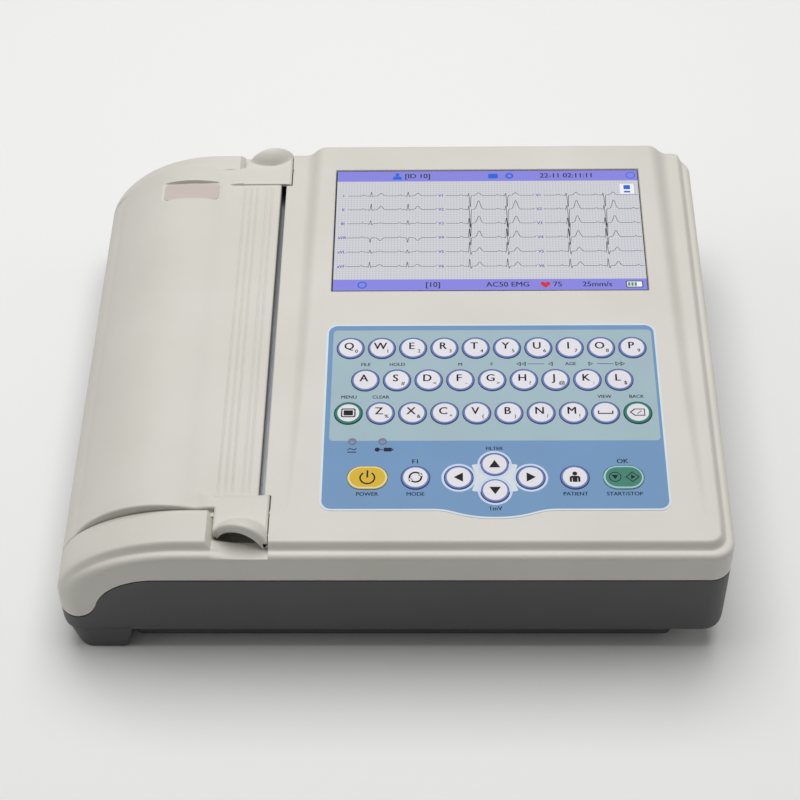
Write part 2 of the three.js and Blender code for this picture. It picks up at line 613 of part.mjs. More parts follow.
addSolid('print_head', printHead(), LOOK.steel);
addSolid('display_module', displayModule(), LOOK.steel);
addSolid('display_window', displayWindow(), LOOK.glass);
addSolid('keypad_overlay', keypadOverlay(), LOOK.overlay);
allKeys().forEach((key) => addSolid(`key_${key.name}`, keyCap(key), LOOK.key));
addSolid('main_board', mainBoard(), LOOK.board);
addSolid('power_supply', powerSupply(), LOOK.board);
addSolid('battery_pack', batteryPack(), LOOK.black);
addSolid('battery_door', batteryDoor(), LOOK.base);
addSolid('mains_inlet', mainsInlet(), LOOK.black);
addSolid('mains_switch', mainsSwitch(), LOOK.black);
addSolid('patient_connector', patientConnector(), LOOK.steel);

export default group;
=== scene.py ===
# %% [markdown]
# # A table-top ECG recorder
# The recorder is a low case on a darker base. A curved lid on its left covers the paper roll, and a slightly
# raised console carries the screen and the keyboard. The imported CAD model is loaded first, as a frame that
# fixes every size and every hinge. Each visible piece is then a smooth surface worked out around that frame.

# %% Load the frame
import json
import math
import bpy
import numpy as np
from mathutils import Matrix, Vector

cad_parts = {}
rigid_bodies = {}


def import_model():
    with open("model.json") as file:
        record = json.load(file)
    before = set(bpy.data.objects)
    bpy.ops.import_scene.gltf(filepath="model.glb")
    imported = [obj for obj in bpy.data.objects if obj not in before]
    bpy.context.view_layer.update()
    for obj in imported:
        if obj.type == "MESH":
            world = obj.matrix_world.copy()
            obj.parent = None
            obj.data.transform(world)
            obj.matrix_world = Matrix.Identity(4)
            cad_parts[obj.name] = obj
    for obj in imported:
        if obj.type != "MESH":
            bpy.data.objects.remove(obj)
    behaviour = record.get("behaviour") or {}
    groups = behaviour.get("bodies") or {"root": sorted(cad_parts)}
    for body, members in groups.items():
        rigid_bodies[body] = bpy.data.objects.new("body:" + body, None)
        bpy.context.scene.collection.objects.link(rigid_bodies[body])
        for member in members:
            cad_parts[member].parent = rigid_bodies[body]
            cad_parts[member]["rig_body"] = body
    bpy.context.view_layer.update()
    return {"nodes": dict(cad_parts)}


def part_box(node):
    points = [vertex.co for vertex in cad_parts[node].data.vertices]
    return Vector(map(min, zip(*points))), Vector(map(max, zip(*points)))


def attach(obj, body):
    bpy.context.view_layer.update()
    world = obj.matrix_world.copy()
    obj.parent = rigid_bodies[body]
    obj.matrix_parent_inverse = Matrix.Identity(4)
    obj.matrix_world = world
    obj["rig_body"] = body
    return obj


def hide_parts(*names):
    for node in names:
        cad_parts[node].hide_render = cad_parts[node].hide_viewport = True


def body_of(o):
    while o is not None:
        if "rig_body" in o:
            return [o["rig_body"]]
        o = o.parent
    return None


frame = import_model()
nodes = frame["nodes"]

# %% [markdown]
# ## Sizes taken from the frame
# Lengths here are in millimetres, because mouldings are drawn in millimetres, and a piece's points are turned
# to metres once, when its mesh is made. The case's box and the place of each key are read from the frame, so
# those surfaces follow the CAD model if it changes; the lid's box is read too, but only printed.

# %% Sizes in millimetres
MM = 0.001


def box_mm(node):
    """The lowest and highest corner of a CAD node, in millimetres."""
    low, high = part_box(node)
    return np.array(low) / MM, np.array(high) / MM


_, case_high = box_mm("lower_housing")
HALF_X = case_high[0]          # half the case's width
HALF_Y = case_high[1]          # half its depth
CORNER = 10.0                  # vertical corners of the case
DECK = 75.0                    # flat top of the case
WALL = 2.6                     # moulded wall
GAP = 0.4                      # gap between neighbouring mouldings
LEDGE_DROP = 3.8               # the ledge round the front and right lies this far below the deck
SHADOW_GAP = 0.8               # the joint between case and base shows as a dark line
PARTING = 53.6                 # height of the joint between case and base
PARTING_LEFT = 25.0            # the same joint on the low left side
BELLY = 13.5                   # underside of the base
SHOULDER_X = -93.0             # the left side of the case is a quarter ellipse that starts here
SHOULDER_Z = 33.0              # and ends here, where the side wall is upright
TILT = 0.0241                  # slope of the console, in radians
CONSOLE_LEFT, CONSOLE_RIGHT, CONSOLE_FRONT = -45.0, 140.0, -111.0
PANEL_X, PANEL_Y = 47.5, -11.0 # middle of the keyboard's top row
lid_low, lid_high = box_mm("printer_lid")
LID_Y0, LID_Y1 = -105.6, 118.1 # ends of the lid's shell
LID_EDGE = -59.4               # its straight edge along the paper slit
SLIT_EDGE = -56.8              # the other side of the slit
POCKET_X0, POCKET_X1 = -79.5, -53.8
POCKET_LEAN = -82.0            # the pocket's left wall leans out to here at the deck
print("case", 2 * HALF_X, "x", 2 * HALF_Y, "mm; lid from", lid_low.round(1), "to", lid_high.round(1))

# The body a piece rides on, and the slot of its finish.
ON_CASE = ("machine", "shell_plastic")
ON_LID = ("lid", "shell_plastic")
ON_BASE = ("machine", "base_plastic")
ON_FILM = ("machine", "overlay_film")
ON_SCREEN = ("machine", "display_glass")

# %% [markdown]
# ## From a grid of points to a mesh
# Every surface is a grid: two parameters run along its rows and columns, and one formula gives the point for
# each pair. A moulding is two such grids, its outer and its inner skin, joined by a rim wherever the skin has
# an edge. That keeps each piece one closed body, with no modifier to guess at the wall.

# %% Grid and mesh helpers


def quads(keep):
    """The four corner numbers of each kept cell, turned so that rows along x and columns along y face up."""
    i, j = np.nonzero(keep)
    first = i * (keep.shape[1] + 1) + j
    across = keep.shape[1] + 1
    return np.stack([first, first + across, first + across + 1, first + 1], axis=-1)


def rim(keep, offset):
    """Quads that join two stacked grids along each line with a kept cell on one side only."""
    across = keep.shape[1] + 1
    padded = np.pad(keep, 1)
    low = padded[1:-1, :-1]
    high = padded[1:-1, 1:]
    i, j = np.nonzero(high & ~low)
    a = i * across + j
    joined = [np.stack([a + across, a, a + offset, a + across + offset], -1)]
    i, j = np.nonzero(low & ~high)
    a = i * across + j
    joined.append(np.stack([a, a + across, a + across + offset, a + offset], -1))
    low = padded[:-1, 1:-1]
    high = padded[1:, 1:-1]
    i, j = np.nonzero(high & ~low)
    a = i * across + j
    joined.append(np.stack([a, a + 1, a + 1 + offset, a + offset], -1))
    i, j = np.nonzero(low & ~high)
    a = i * across + j
    joined.append(np.stack([a + 1, a, a + offset, a + 1 + offset], -1))
    return np.concatenate(joined)


def make_piece(name, points, faces, looks, body, slot, face_look=None, smooth=True, crease=None):
    """A mesh object from points in millimetres and lists of corner numbers, riding on a body."""
    faces = [list(face) for face in faces]
    used = np.unique(np.concatenate([np.asarray(face) for face in faces]))
    renumber = np.zeros(len(points), dtype=int)
    renumber[used] = np.arange(len(used))
    mesh = bpy.data.meshes.new(name)
    corners = (np.asarray(points)[used] * MM).tolist()
    mesh.from_pydata(corners, [], [renumber[face].tolist() for face in faces])
    mesh.validate()
    for look in looks:
        mesh.materials.append(look)
    if face_look is not None:
        mesh.polygons.foreach_set("material_index", np.asarray(face_look, dtype=np.int32))
    mesh.shade_smooth() if smooth else mesh.shade_flat()
    if crease:
        mesh.set_sharp_from_angle(angle=math.radians(crease))
    piece = bpy.data.objects.new(name, mesh)
    bpy.context.scene.collection.objects.link(piece)
    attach(piece, body)
    return piece


def every_cell(grid):
    """A mask that keeps all the cells of a grid of points."""
    return np.ones((grid.shape[0] - 1, grid.shape[1] - 1), dtype=bool)


def skin_piece(name, outer, inner, keep, looks, body, slot, crease=40, turned=False):
    """A closed wall between an outer and an inner grid of points; keep says which cells are there."""
    count = outer.shape[0] * outer.shape[1]
    top = quads(keep)
    faces = np.concatenate([top, top[:, ::-1] + count, rim(keep, count)])
    if turned:
        faces = faces[:, ::-1]
    points = np.concatenate([outer.reshape(-1, 3), inner.reshape(-1, 3)])
    piece = make_piece(name, points, faces, looks, body, slot, crease=crease)
    print(name, len(faces), "faces")
    return piece


def lines(*spans):
    """Grid lines for spans of (start, stop, step), sorted, each place kept once."""
    places = [np.linspace(a, b, max(1, round(abs(b - a) / step)) + 1) for a, b, step in spans]
    merged = np.sort(np.concatenate(places))
    return merged[np.concatenate([[True], np.diff(merged) > 0.012])]


def near(edge, side, reach=1.0):
    """A span of lines that crowd towards an edge, on one side of it, to draw its rounding."""
    return edge + side * reach * np.linspace(0, 1, 7) ** 2


def with_edges(base, *groups):
    """Base lines and the crowded lines near edges, sorted; lines that nearly touch are merged."""
    merged = np.sort(np.concatenate([base, *groups]))
    return merged[np.concatenate([[True], np.diff(merged) > 0.012])]


# %% [markdown]
# ## Draping a sheet over the case
# A case with upright walls and round corners is like a cloth laid over a box. Inside the plan the sheet's
# point is simply (x, y). Past the corner's centre the square rings of the grid are bent into round ones, and
# past the outline the sheet turns down and runs along the wall. One grid then covers top, corners and walls,
# and its last ring is exactly the joint with the base.

# %% The drape


def drape(across, along, half_x, half_y, corner, centre=(0.0, 0.0)):
    """Plan place of each sheet point, and how far it has run past the outline.

    Rings of equal max(dx, dy) round each corner's centre become arcs of equal radius; dx / dy sets the angle.
    """
    p = across[:, None] - centre[0] + 0 * along[None, :]
    q = along[None, :] - centre[1] + 0 * across[:, None]
    core_x = np.clip(p, -(half_x - corner), half_x - corner)
    core_y = np.clip(q, -(half_y - corner), half_y - corner)
    dx = np.abs(p - core_x)
    dy = np.abs(q - core_y)
    ring = np.maximum(dx, dy)
    ratio = np.minimum(dx, dy) / np.maximum(ring, 1e-9)
    angle = np.where(dx >= dy, ratio * math.pi / 4, math.pi / 2 - ratio * math.pi / 4)
    reach = np.minimum(ring, corner)
    x = core_x + np.sign(p - core_x) * reach * np.cos(angle) * (dx > 0)
    y = core_y + np.sign(q - core_y) * reach * np.sin(angle) * (dy > 0)
    return x + centre[0], y + centre[1], np.maximum(ring - corner, 0)


def ring_lines(half, bend, steps, middle=(0.0,)):
    """Grid lines for a sheet with bent rings: the steps at both ends, and the middle lines between them."""
    return np.concatenate([-(half - bend) - steps[::-1], middle, half - bend + steps])


def edge_gap(x, y, half_x, half_y, corner, centre=(0.0, 0.0)):
    """Distance in from the outline of a round-cornered rectangle, which stops growing at corner."""
    past_x = np.maximum(np.abs(x - centre[0]) - half_x + corner, 0)
    past_y = np.maximum(np.abs(y - centre[1]) - half_y + corner, 0)
    return corner - np.hypot(past_x, past_y)


def rounded_drop(distance, radius):
    """How far a rounded edge has fallen at a distance in from it: a quarter circle."""
    inside = np.clip(radius - distance, 0, radius)
    return radius - np.sqrt(radius ** 2 - inside ** 2)


def ease(t):
    """A smooth step from 0 to 1."""
    t = np.clip(t, 0, 1)
    return t * t * (3 - 2 * t)


def soft_min(a, b, blend):
    """The smaller of two heights, with the corner between them rounded over the blend length."""
    overlap = np.maximum(blend - np.abs(a - b), 0) / blend
    return np.minimum(a, b) - overlap ** 2 * blend / 4


def box_distance(x, y, hole):
    """Distance from a point in the plan to a rectangular opening (x0, x1, y0, y1)."""
    x0, x1, y0, y1 = hole
    dx = np.maximum(np.maximum(x0 - x, x - x1), 0)
    dy = np.maximum(np.maximum(y0 - y, y - y1), 0)
    return np.hypot(dx, dy)


# %% [markdown]
# ## Lines that several mouldings share
# The joint between case and base, the plane of the console and the left edge of the case each shape more than
# one moulding. Each is one formula, so neighbours that meet along it agree exactly. The joint is made of cubic
# Bezier curves, because an S-bend has to start and end level.

# %% Shapes shared by case, base and lid


def console_height(y):
    """The tilted plane that the screen and the keyboard lie in."""
    return DECK + (y - CONSOLE_FRONT) * math.tan(TILT)


def bezier(count, *spans):
    """Points along cubic Bezier spans, each given by its four control points, joined end to end."""
    t = np.linspace(0, 1, count)[:, None]
    weights = np.concatenate([(1 - t) ** 3, 3 * t * (1 - t) ** 2, 3 * t ** 2 * (1 - t), t ** 3], 1)
    runs = [weights @ np.array(span) for span in spans]
    return np.concatenate([runs[0], *[run[1:] for run in runs[1:]]])


def parting_height(x):
    """Height of the joint between case and base: level, with an S-curve down to the low left side."""
    low, high = PARTING_LEFT, PARTING
    curve = bezier(30, [(-146, low), (-140, low), (-137, low + 4), (-135, low + 11)],
                   [(-135, low + 11), (-131, low + 21), (-120, high), (-106, high)])
    return np.interp(x, curve[:, 0], curve[:, 1])


def left_outline(y):
    """The case's left edge in plan, which turns in at the round corners."""
    past = np.clip(np.abs(y) - (HALF_Y - CORNER), 0, CORNER)
    return -(HALF_X - CORNER) - np.sqrt(CORNER ** 2 - past ** 2)


print("joint at the left", parting_height(-150.0), "and right", parting_height(150.0))

# %% [markdown]
# ## One small function for shader nodes
# Every finish below is built from a few shader nodes. A node is added by naming its kind, the values of its
# inputs and the outputs that feed them, so a material reads as a short recipe.

# %% Material helpers


def colour(hex_value):
    """An sRGB hex colour as linear red, green, blue and alpha."""
    channels = [int(hex_value[i:i + 2], 16) / 255 for i in (1, 3, 5)]
    linear = [c / 12.92 if c <= 0.04045 else ((c + 0.055) / 1.055) ** 2.4 for c in channels]
    return (*linear, 1.0)


def add(tree, kind, values=None, links=None, **settings):
    """One shader node: its settings, the values of its inputs, and the outputs that feed its inputs."""
    node = tree.nodes.new(kind)
    for key, value in settings.items():
        setattr(node, key, value)
    for key, value in (values or {}).items():
        node.inputs[key].default_value = value
    for key, output in (links or {}).items():
        tree.links.new(output, node.inputs[key])
    return node


def new_finish(name):
    """A material with an empty tree, its Principled shader and its Object coordinates."""
    material = bpy.data.materials.new(name)
    material.use_nodes = True
    tree = material.node_tree
    shader = tree.nodes["Principled BSDF"]
    place = add(tree, "ShaderNodeTexCoord").outputs["Object"]
    return material, tree, shader, place


def per_mm(size):
    """Scale of a noise pattern, in Object coordinates in metres, whose features are this many millimetres."""
    return 1 / (size * MM)


def set_values(shader, **values):
    """Sets the shader's own sockets; an underscore in a name stands for a space."""
    for key, value in values.items():
        shader.inputs[key.replace("_", " ")].default_value = value


# %% [markdown]
# ## Moulded plastic
# The case, lid and base are injection-moulded ABS from a spark-eroded mould. The mould's fine pits leave a
# matt grain about half a millimetre across, which spreads the highlight, and the colour is nearly even,
# with slow drifts where the plastic flowed. Noise at the two sizes drives the colour, roughness and bump.

# %% Moulded plastics


def moulded_abs(name, light, dark, roughness, grain=0.55, depth=0.035, ior=1.5):
    """ABS with a spark-eroded grain: slow colour drift, fine pits in the surface, a broad soft highlight."""
    material, tree, shader, place = new_finish(name)
    drift = add(tree, "ShaderNodeTexNoise", {"Scale": per_mm(60), "Detail": 3}, {"Vector": place})
    speck = add(tree, "ShaderNodeTexNoise", {"Scale": per_mm(grain), "Detail": 2}, {"Vector": place})
    tone = add(tree, "ShaderNodeMath", {1: 0.25}, {0: speck.outputs["Fac"], 2: drift.outputs["Fac"]},
               operation="MULTIPLY_ADD")
    shade = add(tree, "ShaderNodeMapRange", {"From Min": 0.35, "From Max": 0.9}, {"Value": tone.outputs[0]})
    mix = add(tree, "ShaderNodeMix", {"A": colour(light), "B": colour(dark)},
              {"Factor": shade.outputs[0]}, data_type="RGBA")
    gloss = add(tree, "ShaderNodeMapRange", {"To Min": roughness - 0.05, "To Max": roughness + 0.07},
                {"Value": speck.outputs["Fac"]})
    bump = add(tree, "ShaderNodeBump", {"Strength": 0.35, "Distance": depth * MM},
               {"Height": speck.outputs["Fac"]})
    tree.links.new(mix.outputs["Result"], shader.inputs["Base Color"])
    tree.links.new(gloss.outputs[0], shader.inputs["Roughness"])
    tree.links.new(bump.outputs[0], shader.inputs["Normal"])
    set_values(shader, IOR=ior)
    return material


ivory_abs = moulded_abs("ivory_grained_abs", "#D9D6CE", "#D0CDC4", 0.48)
charcoal_abs = moulded_abs("charcoal_grained_abs", "#4B4B4D", "#424244", 0.5)
black_abs = moulded_abs("black_grained_abs", "#232325", "#1B1B1D", 0.5)
badge_film = moulded_abs("pearl_printed_badge_film", "#CFC4BC", "#C2B8B2", 0.3, 0.2, 0.004)
print("plastics:", ivory_abs.name, charcoal_abs.name, black_abs.name)

# %% [markdown]
# ## The case
# The case's top is one height for each place in the plan: the flat deck, the quarter ellipse on the left, the
# cove down to the ledge along the front and right, and the tilted console. Heights are easier to combine than
# solids: the lower of two wins, and a soft minimum rounds the join. The sheet is draped over the plan. The
# cells over the lid's bay, the finger pockets, the screen and the key window are left out.

# %% Heights of the case's top
LEDGE_COVE = (-1.7, 1.5)       # the cove starts inside the deck's outline and ends outside it
DECK_SIDE = HALF_X - 5.0       # outline of the deck inside the ledge
DECK_FRONT = -HALF_Y + 5.0
DECK_CORNER = 7.0
BAY = (-400.0, SLIT_EDGE, LID_Y0 - GAP, LID_Y1 + GAP)
FRONT_POCKET = (POCKET_X0, POCKET_X1, -120.8, LID_Y0 - GAP)
BACK_POCKET = (POCKET_X0, POCKET_X1, LID_Y1 + GAP, 124.5)
FRONT_NOTCH = (SLIT_EDGE, POCKET_X1, LID_Y0 - GAP, -98.0)
BACK_NOTCH = (SLIT_EDGE, POCKET_X1, 105.8, LID_Y1 + GAP)
SCREEN_HOLE = (PANEL_X - 78.2, PANEL_X + 78.2, 26.6, 111.5)
KEY_WINDOW = (PANEL_X - 76.5, PANEL_X + 76.5, -103.5, 1.5)
POCKET_LIP = 69.8              # the flat lip at the open end of each finger pocket
POCKET_LEFT_TOP = 71.4         # top of its left wall
RIM_ROUNDING = 2.4
EDGE_ROUNDING = 0.6            # edges of the openings


def cove_drop(x, y):
    """The fall from deck to ledge, as a smooth step of the distance from the deck's rounded outline."""
    past_x = np.maximum(x - (DECK_SIDE - DECK_CORNER), 0)
    past_y = np.maximum((DECK_FRONT + DECK_CORNER) - y, 0)
    distance = np.hypot(past_x, past_y) - DECK_CORNER
    start, stop = LEDGE_COVE
    return LEDGE_DROP * ease((distance - start) / (stop - start))


def console_rise(x, y):
    """The console above the deck: its tilted plane, cut by 45 degree sides, with soft creases."""
    plane = np.maximum(console_height(y) - DECK, 0)
    side = np.minimum(x - CONSOLE_LEFT, CONSOLE_RIGHT - x)
    blend = 2.4
    above = np.maximum(side, 0) + np.maximum(blend - np.abs(side), 0) ** 2 / (4 * blend)
    return np.maximum(soft_min(above, plane, np.minimum(blend, plane + 0.05)), 0)


def case_top(x, y):
    """Height of the case's outer skin: shoulder, deck, cove and console, with a rounded rim."""
    reach = SHOULDER_X - left_outline(y)
    along = np.clip((SHOULDER_X - x) / reach, 0, 1)
    drop = cove_drop(x, y)
    drop = drop + rounded_drop(edge_gap(np.maximum(x, 0), y, HALF_X, HALF_Y, CORNER), RIM_ROUNDING)
    height = SHOULDER_Z + (DECK - SHOULDER_Z - drop) * np.sqrt(np.maximum(1 - along ** 2, 0))
    height = height + console_rise(x, y)
    for hole in (BAY, SCREEN_HOLE, FRONT_NOTCH, BACK_NOTCH):
        height = height - rounded_drop(box_distance(x, y, hole), EDGE_ROUNDING)
    return pocket_cut(x, y, height)


def pocket_cut(x, y, height):
    """Lowers the skin round each finger pocket to its lip; the left side leans out for the lift tab."""
    lean = DECK - (DECK - POCKET_LEFT_TOP) * np.clip((x - POCKET_LEAN) / (POCKET_X0 - POCKET_LEAN), 0, 1)
    floor = np.where(x > POCKET_X0 + 0.01, POCKET_LIP, lean + 0.3)
    inside = (x > POCKET_LEAN) & (x < POCKET_X1 - 0.02) & ((y < LID_Y0 - GAP) | (y > LID_Y1 + GAP))
    return np.where(inside, np.minimum(height, floor), height)


# %% [markdown]
# ## Where the grid is fine
# Flat areas need few grid lines. The lines crowd where the skin turns: at the rim, in the round corners and
# beside the openings, where a few close lines draw the rounded edge. An opening is made by leaving cells out,
# which keeps its edge clean without a boolean cut.

# %% Grid lines of the case
EDGE_STEPS = CORNER * (np.arange(23) / 22) ** 1.7     # crowded towards the outline
WALL_STEPS = CORNER + np.array([0.06, 0.5, 1, 2, 3, 4])
ring = np.concatenate([CORNER - EDGE_STEPS, WALL_STEPS])
right_lines = HALF_X - CORNER + ring
back_lines = HALF_Y - CORNER + ring
case_x = with_edges(
    lines((-144, -93, 1.6), (-93, -83, 2.5), (-52, -36, 0.8), (-36, 130, 6), (130, 144, 0.9)),
    right_lines, -right_lines, near(SLIT_EDGE, 1), near(POCKET_X1, 1), near(POCKET_X0, -1),
    [POCKET_LEAN, -60, -70, POCKET_X1 - 0.03, KEY_WINDOW[0], KEY_WINDOW[1]], near(SCREEN_HOLE[0], -1),
    near(SCREEN_HOLE[1], 1))
case_y = with_edges(
    lines((-120, 120, 6), (-114, -108, 1)), back_lines, -back_lines, near(BAY[2], -1), near(BAY[3], 1),
    [FRONT_POCKET[2], BACK_POCKET[3], KEY_WINDOW[2], KEY_WINDOW[3]], near(FRONT_NOTCH[3], 1),
    near(BACK_NOTCH[2], -1), near(SCREEN_HOLE[2], -1), near(SCREEN_HOLE[3], 1))


def cells_outside(across, along, holes):
    """True for each cell whose middle is in none of the openings."""
    x = (across[:-1] + across[1:])[:, None] / 2
    y = (along[:-1] + along[1:])[None, :] / 2
    keep = np.ones((len(across) - 1, len(along) - 1), dtype=bool)
    for x0, x1, y0, y1 in holes:
        keep &= ~((x > x0) & (x < x1) & (y > y0) & (y < y1))
    return keep


def case_skin(inset):
    """The draped sheet of the case: its top, then its walls down to the joint; inset gives the inner skin."""
    x, y, past = drape(case_x, case_y, HALF_X, HALF_Y, CORNER)
    top = case_top(x, y)
    share = past / past.max()
    bottom = parting_height(x) + SHADOW_GAP / 2
    z = top * (1 - share) + bottom * share - inset * (1 - share)
    scale_x = 1 - inset / HALF_X
    scale_y = 1 - inset / HALF_Y
    return np.stack([x * scale_x, y * scale_y, z], -1)


case_keep = cells_outside(case_x, case_y, (BAY, FRONT_POCKET, BACK_POCKET, FRONT_NOTCH, BACK_NOTCH,
                                           SCREEN_HOLE, KEY_WINDOW))
case = skin_piece("upper_case", case_skin(0), case_skin(WALL), case_keep, [ivory_abs], *ON_CASE)
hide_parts("upper_housing")

# %% [markdown]
# ## Profiles carried along a path
# Ribs, feet, cheeks and the hinge barrel keep one profile from end to end. The profile's outline is a list of
# corners, each rounded by an arc, and the piece is that outline at a few places along Y. At the two ends the
# outline shrinks by a quarter circle, which rounds the edge, and one flat face closes it.

# %% Rounded profiles and prisms


def round_corners(points, radii, steps=5):
    """A closed outline whose corners are arcs tangent to both sides; a radius of 0 keeps the corner."""
    points = np.asarray(points, dtype=float)
    outline = []
    for corner, before, after, radius in zip(points, np.roll(points, 1, 0), np.roll(points, -1, 0), radii):
        if radius == 0:
            outline.append(corner[None])
            continue
        u = (before - corner) / np.linalg.norm(before - corner)
        v = (after - corner) / np.linalg.norm(after - corner)
        half = math.acos(np.clip(u @ v, -1, 1)) / 2
        middle = corner + (u + v) / np.linalg.norm(u + v) * radius / math.sin(half)
        a, b = corner + u * radius / math.tan(half) - middle, corner + v * radius / math.tan(half) - middle
        sweep = math.pi - 2 * half
        t = np.linspace(0, 1, steps)[:, None]
        outline.append(middle + (a * np.sin((1 - t) * sweep) + b * np.sin(t * sweep)) / math.sin(sweep))
    return np.concatenate(outline)


def signed_area(outline):
    """Twice the area inside a closed outline; it is negative when the outline runs clockwise."""
    after = np.roll(outline, -1, 0)
    return np.sum(outline[:, 0] * after[:, 1] - after[:, 0] * outline[:, 1])


def outline_normals(outline):
    """Unit normals of a closed outline, pointing out of it: the mean of the two sides at each corner."""
    side = np.roll(outline, -1, 0) - outline
    normal = np.stack([side[:, 1], -side[:, 0]], -1)
    normal /= np.maximum(np.linalg.norm(normal, axis=1, keepdims=True), 1e-9)
    mean = normal + np.roll(normal, 1, 0)
    mean /= np.maximum(np.linalg.norm(mean, axis=1, keepdims=True), 1e-9)
    return mean * np.sign(signed_area(outline))


def prism(name, outline, start, stop, looks, body, slot, edge=0.5, axis="Y", crease=40, rows=(), shift=None):
    """An outline carried along an axis, with a quarter-circle rounding at both ends and flat end faces.

    Rows are extra places along it, and shift(across, along, up) gives a new place across for every point.
    """
    outline = np.asarray(outline, dtype=float)
    if signed_area(outline) < 0:
        outline = outline[::-1]
    normals = outline_normals(outline)
    turn = np.linspace(0, math.pi / 2, 4)
    rounding = edge * (1 - np.sin(turn))
    reach = edge * (1 - np.cos(turn))
    shrink = np.concatenate([rounding, np.zeros(len(rows)), rounding[::-1]])
    place = np.concatenate([start + reach, rows, (stop - reach)[::-1]])
    loops = outline[None] - shrink[:, None, None] * normals[None]
    along = np.broadcast_to(place[:, None], loops.shape[:2])
    a, b = loops[..., 0], loops[..., 1]
    if shift is not None:
        a = shift(a, along, b)
    if axis == "Y":
        points = np.stack([a, along, b], -1)
    elif axis == "X":
        points = np.stack([along, a, b], -1)
    else:
        points = np.stack([a, b, along], -1)
    size = len(outline)
    i, j = np.meshgrid(np.arange(len(place) - 1), np.arange(size), indexing="ij")
    first, after = i * size + j, i * size + (j + 1) % size
    side = np.stack([first, after, after + size, first + size], -1).reshape(-1, 4)
    faces = [list(face) for face in side]
    faces.append(list(range(size))[::-1])
    faces.append(list(range(size * (len(place) - 1), size * len(place))))
    if axis == "Y":
        faces = [face[::-1] for face in faces]
    return make_piece(name, points.reshape(-1, 3), faces, looks, body, slot, crease=crease)


def circle(x, y, radius, steps=40, stretch=0.0):
    """A round outline, or a long one with round ends when stretch is the length of its straight part."""
    angle = np.arange(steps) * 2 * math.pi / steps + math.pi / steps
    return np.stack([x + radius * np.cos(angle) + np.sign(np.cos(angle)) * stretch / 2,
                     y + radius * np.sin(angle)], -1)


# %% [markdown]
# ## Walls inside the openings
# The bay under the lid is closed by a cheek at each end, a dark wall runs beside the paper slit, and a cup for
# a fingertip lies under each lift tab. On the real case they are part of the moulding. Here they are thin
# pieces set into the openings, so the case itself stays one simple sheet.

# %% Cheeks, slit wall and finger pockets
def cheek_outline():
    """The upright wall at each end of the bay: the shoulder's curve above, the joint's S-curve below."""
    angle = np.linspace(0, math.pi / 2, 40)
    top_x = SHOULDER_X - (HALF_X + SHOULDER_X - 1.6) * np.sin(angle)
    top_z = SHOULDER_Z + (DECK - 1.6 - SHOULDER_Z) * np.cos(angle)
    low_x = np.linspace(top_x[-1], SLIT_EDGE + WALL, 50)
    low_z = parting_height(low_x) + GAP
    return np.concatenate([np.stack([top_x, top_z], -1), np.stack([low_x, low_z], -1),
                           [[SLIT_EDGE + WALL, DECK - 1.6]]])


def slit_section(low, high):
    """Section of the wall beside the paper slit, between two heights."""
    left, right = SLIT_EDGE + 0.02, SLIT_EDGE + WALL
    return [(left, low), (right, low), (right, high), (left, high)]


for end, start, stop in (("front", BAY[2] - WALL, BAY[2] - 0.02), ("back", BAY[3] + 0.02, BAY[3] + WALL)):
    prism(f"{end}_cheek_wall", cheek_outline(), start, stop, [ivory_abs], *ON_CASE, 0.2)
prism("slit_wall", slit_section(66, 71.8), BAY[2] - WALL, BAY[3] + WALL, [black_abs], *ON_CASE, 0.3)
prism("slit_wall_top", slit_section(71.6, 74), -97.6, 105.4, [black_abs], *ON_CASE, 0.1)


def finger_pocket(name, hole, open_side):
    """A cup with a round bottom: a quarter circle of the ring distance, then upright sides up to the skin."""
    x0, x1, y0, y1 = hole
    centre = ((x0 + x1) / 2, (y0 + y1) / 2)
    half_x, half_y = (x1 - x0) / 2, (y1 - y0) / 2
    bend = 2.9
    steps = np.concatenate([np.linspace(0, bend, 8), bend + np.linspace(0.1, 1, 6)])
    across = ring_lines(half_x, bend, steps, lines((-half_x + bend, half_x - bend, 2))[1:-1])
    along = ring_lines(half_y, bend, steps, lines((-half_y + bend, half_y - bend, 0.5))[1:-1])

    def skin(grow):
        x, y, past = drape(across + centre[0], along + centre[1], half_x, half_y, bend, centre)
        ring_gap = edge_gap(x, y, half_x, half_y, bend, centre)
        beyond_x = np.abs(x - centre[0]) - half_x
        beyond_y = np.abs(y - centre[1]) - half_y
        at_end = beyond_y > beyond_x
        outer_end = (y - centre[1]) * open_side > 0
        end_top = np.where(outer_end, POCKET_LIP - 0.6, 69.0)
        side_top = np.where(x > centre[0], 74.2, POCKET_LEFT_TOP - 0.4)
        top = np.where(at_end, end_top, side_top)
        floor = 60 + rounded_drop(ring_gap, bend)
        share = past / past.max()
        z = floor * (1 - share) + np.maximum(top, 66.1) * share - grow * (1 - share)
        grown = 1 + (grow + 0.08) / half_x
        return np.stack([centre[0] + (x - centre[0]) * grown, centre[1] + (y - centre[1]) * grown, z], -1)

    outer = skin(0)
    return skin_piece(name, outer, skin(1.6), every_cell(outer), [ivory_abs], *ON_CASE)


finger_pocket("front_finger_pocket", FRONT_POCKET, -1)
finger_pocket("back_finger_pocket", BACK_POCKET, 1)

# %% [markdown]
# ## The base
# The dark base is the same draped sheet turned over: its belly is one height for each place in the plan, with
# a large round edge on the right and a chamfer on the left. Its walls run up to the joint. The plinth is a
# smaller drape under it, and the feet are rounded prisms.

# %% Base tub
WALL_START = 15.0              # height of the first row of the base's wall


def belly_height(x, y):
    """Height of the underside: level, rising in a quarter circle at the right and a chamfer at the left."""
    right = rounded_drop(HALF_X - x, 7.5)
    left = np.clip(-(HALF_X - 4) - x, 0, 4) * 1.125
    rim = rounded_drop(edge_gap(x, y, HALF_X, HALF_Y, CORNER), 2.0)
    return BELLY + np.maximum(np.maximum(right, left), rim)


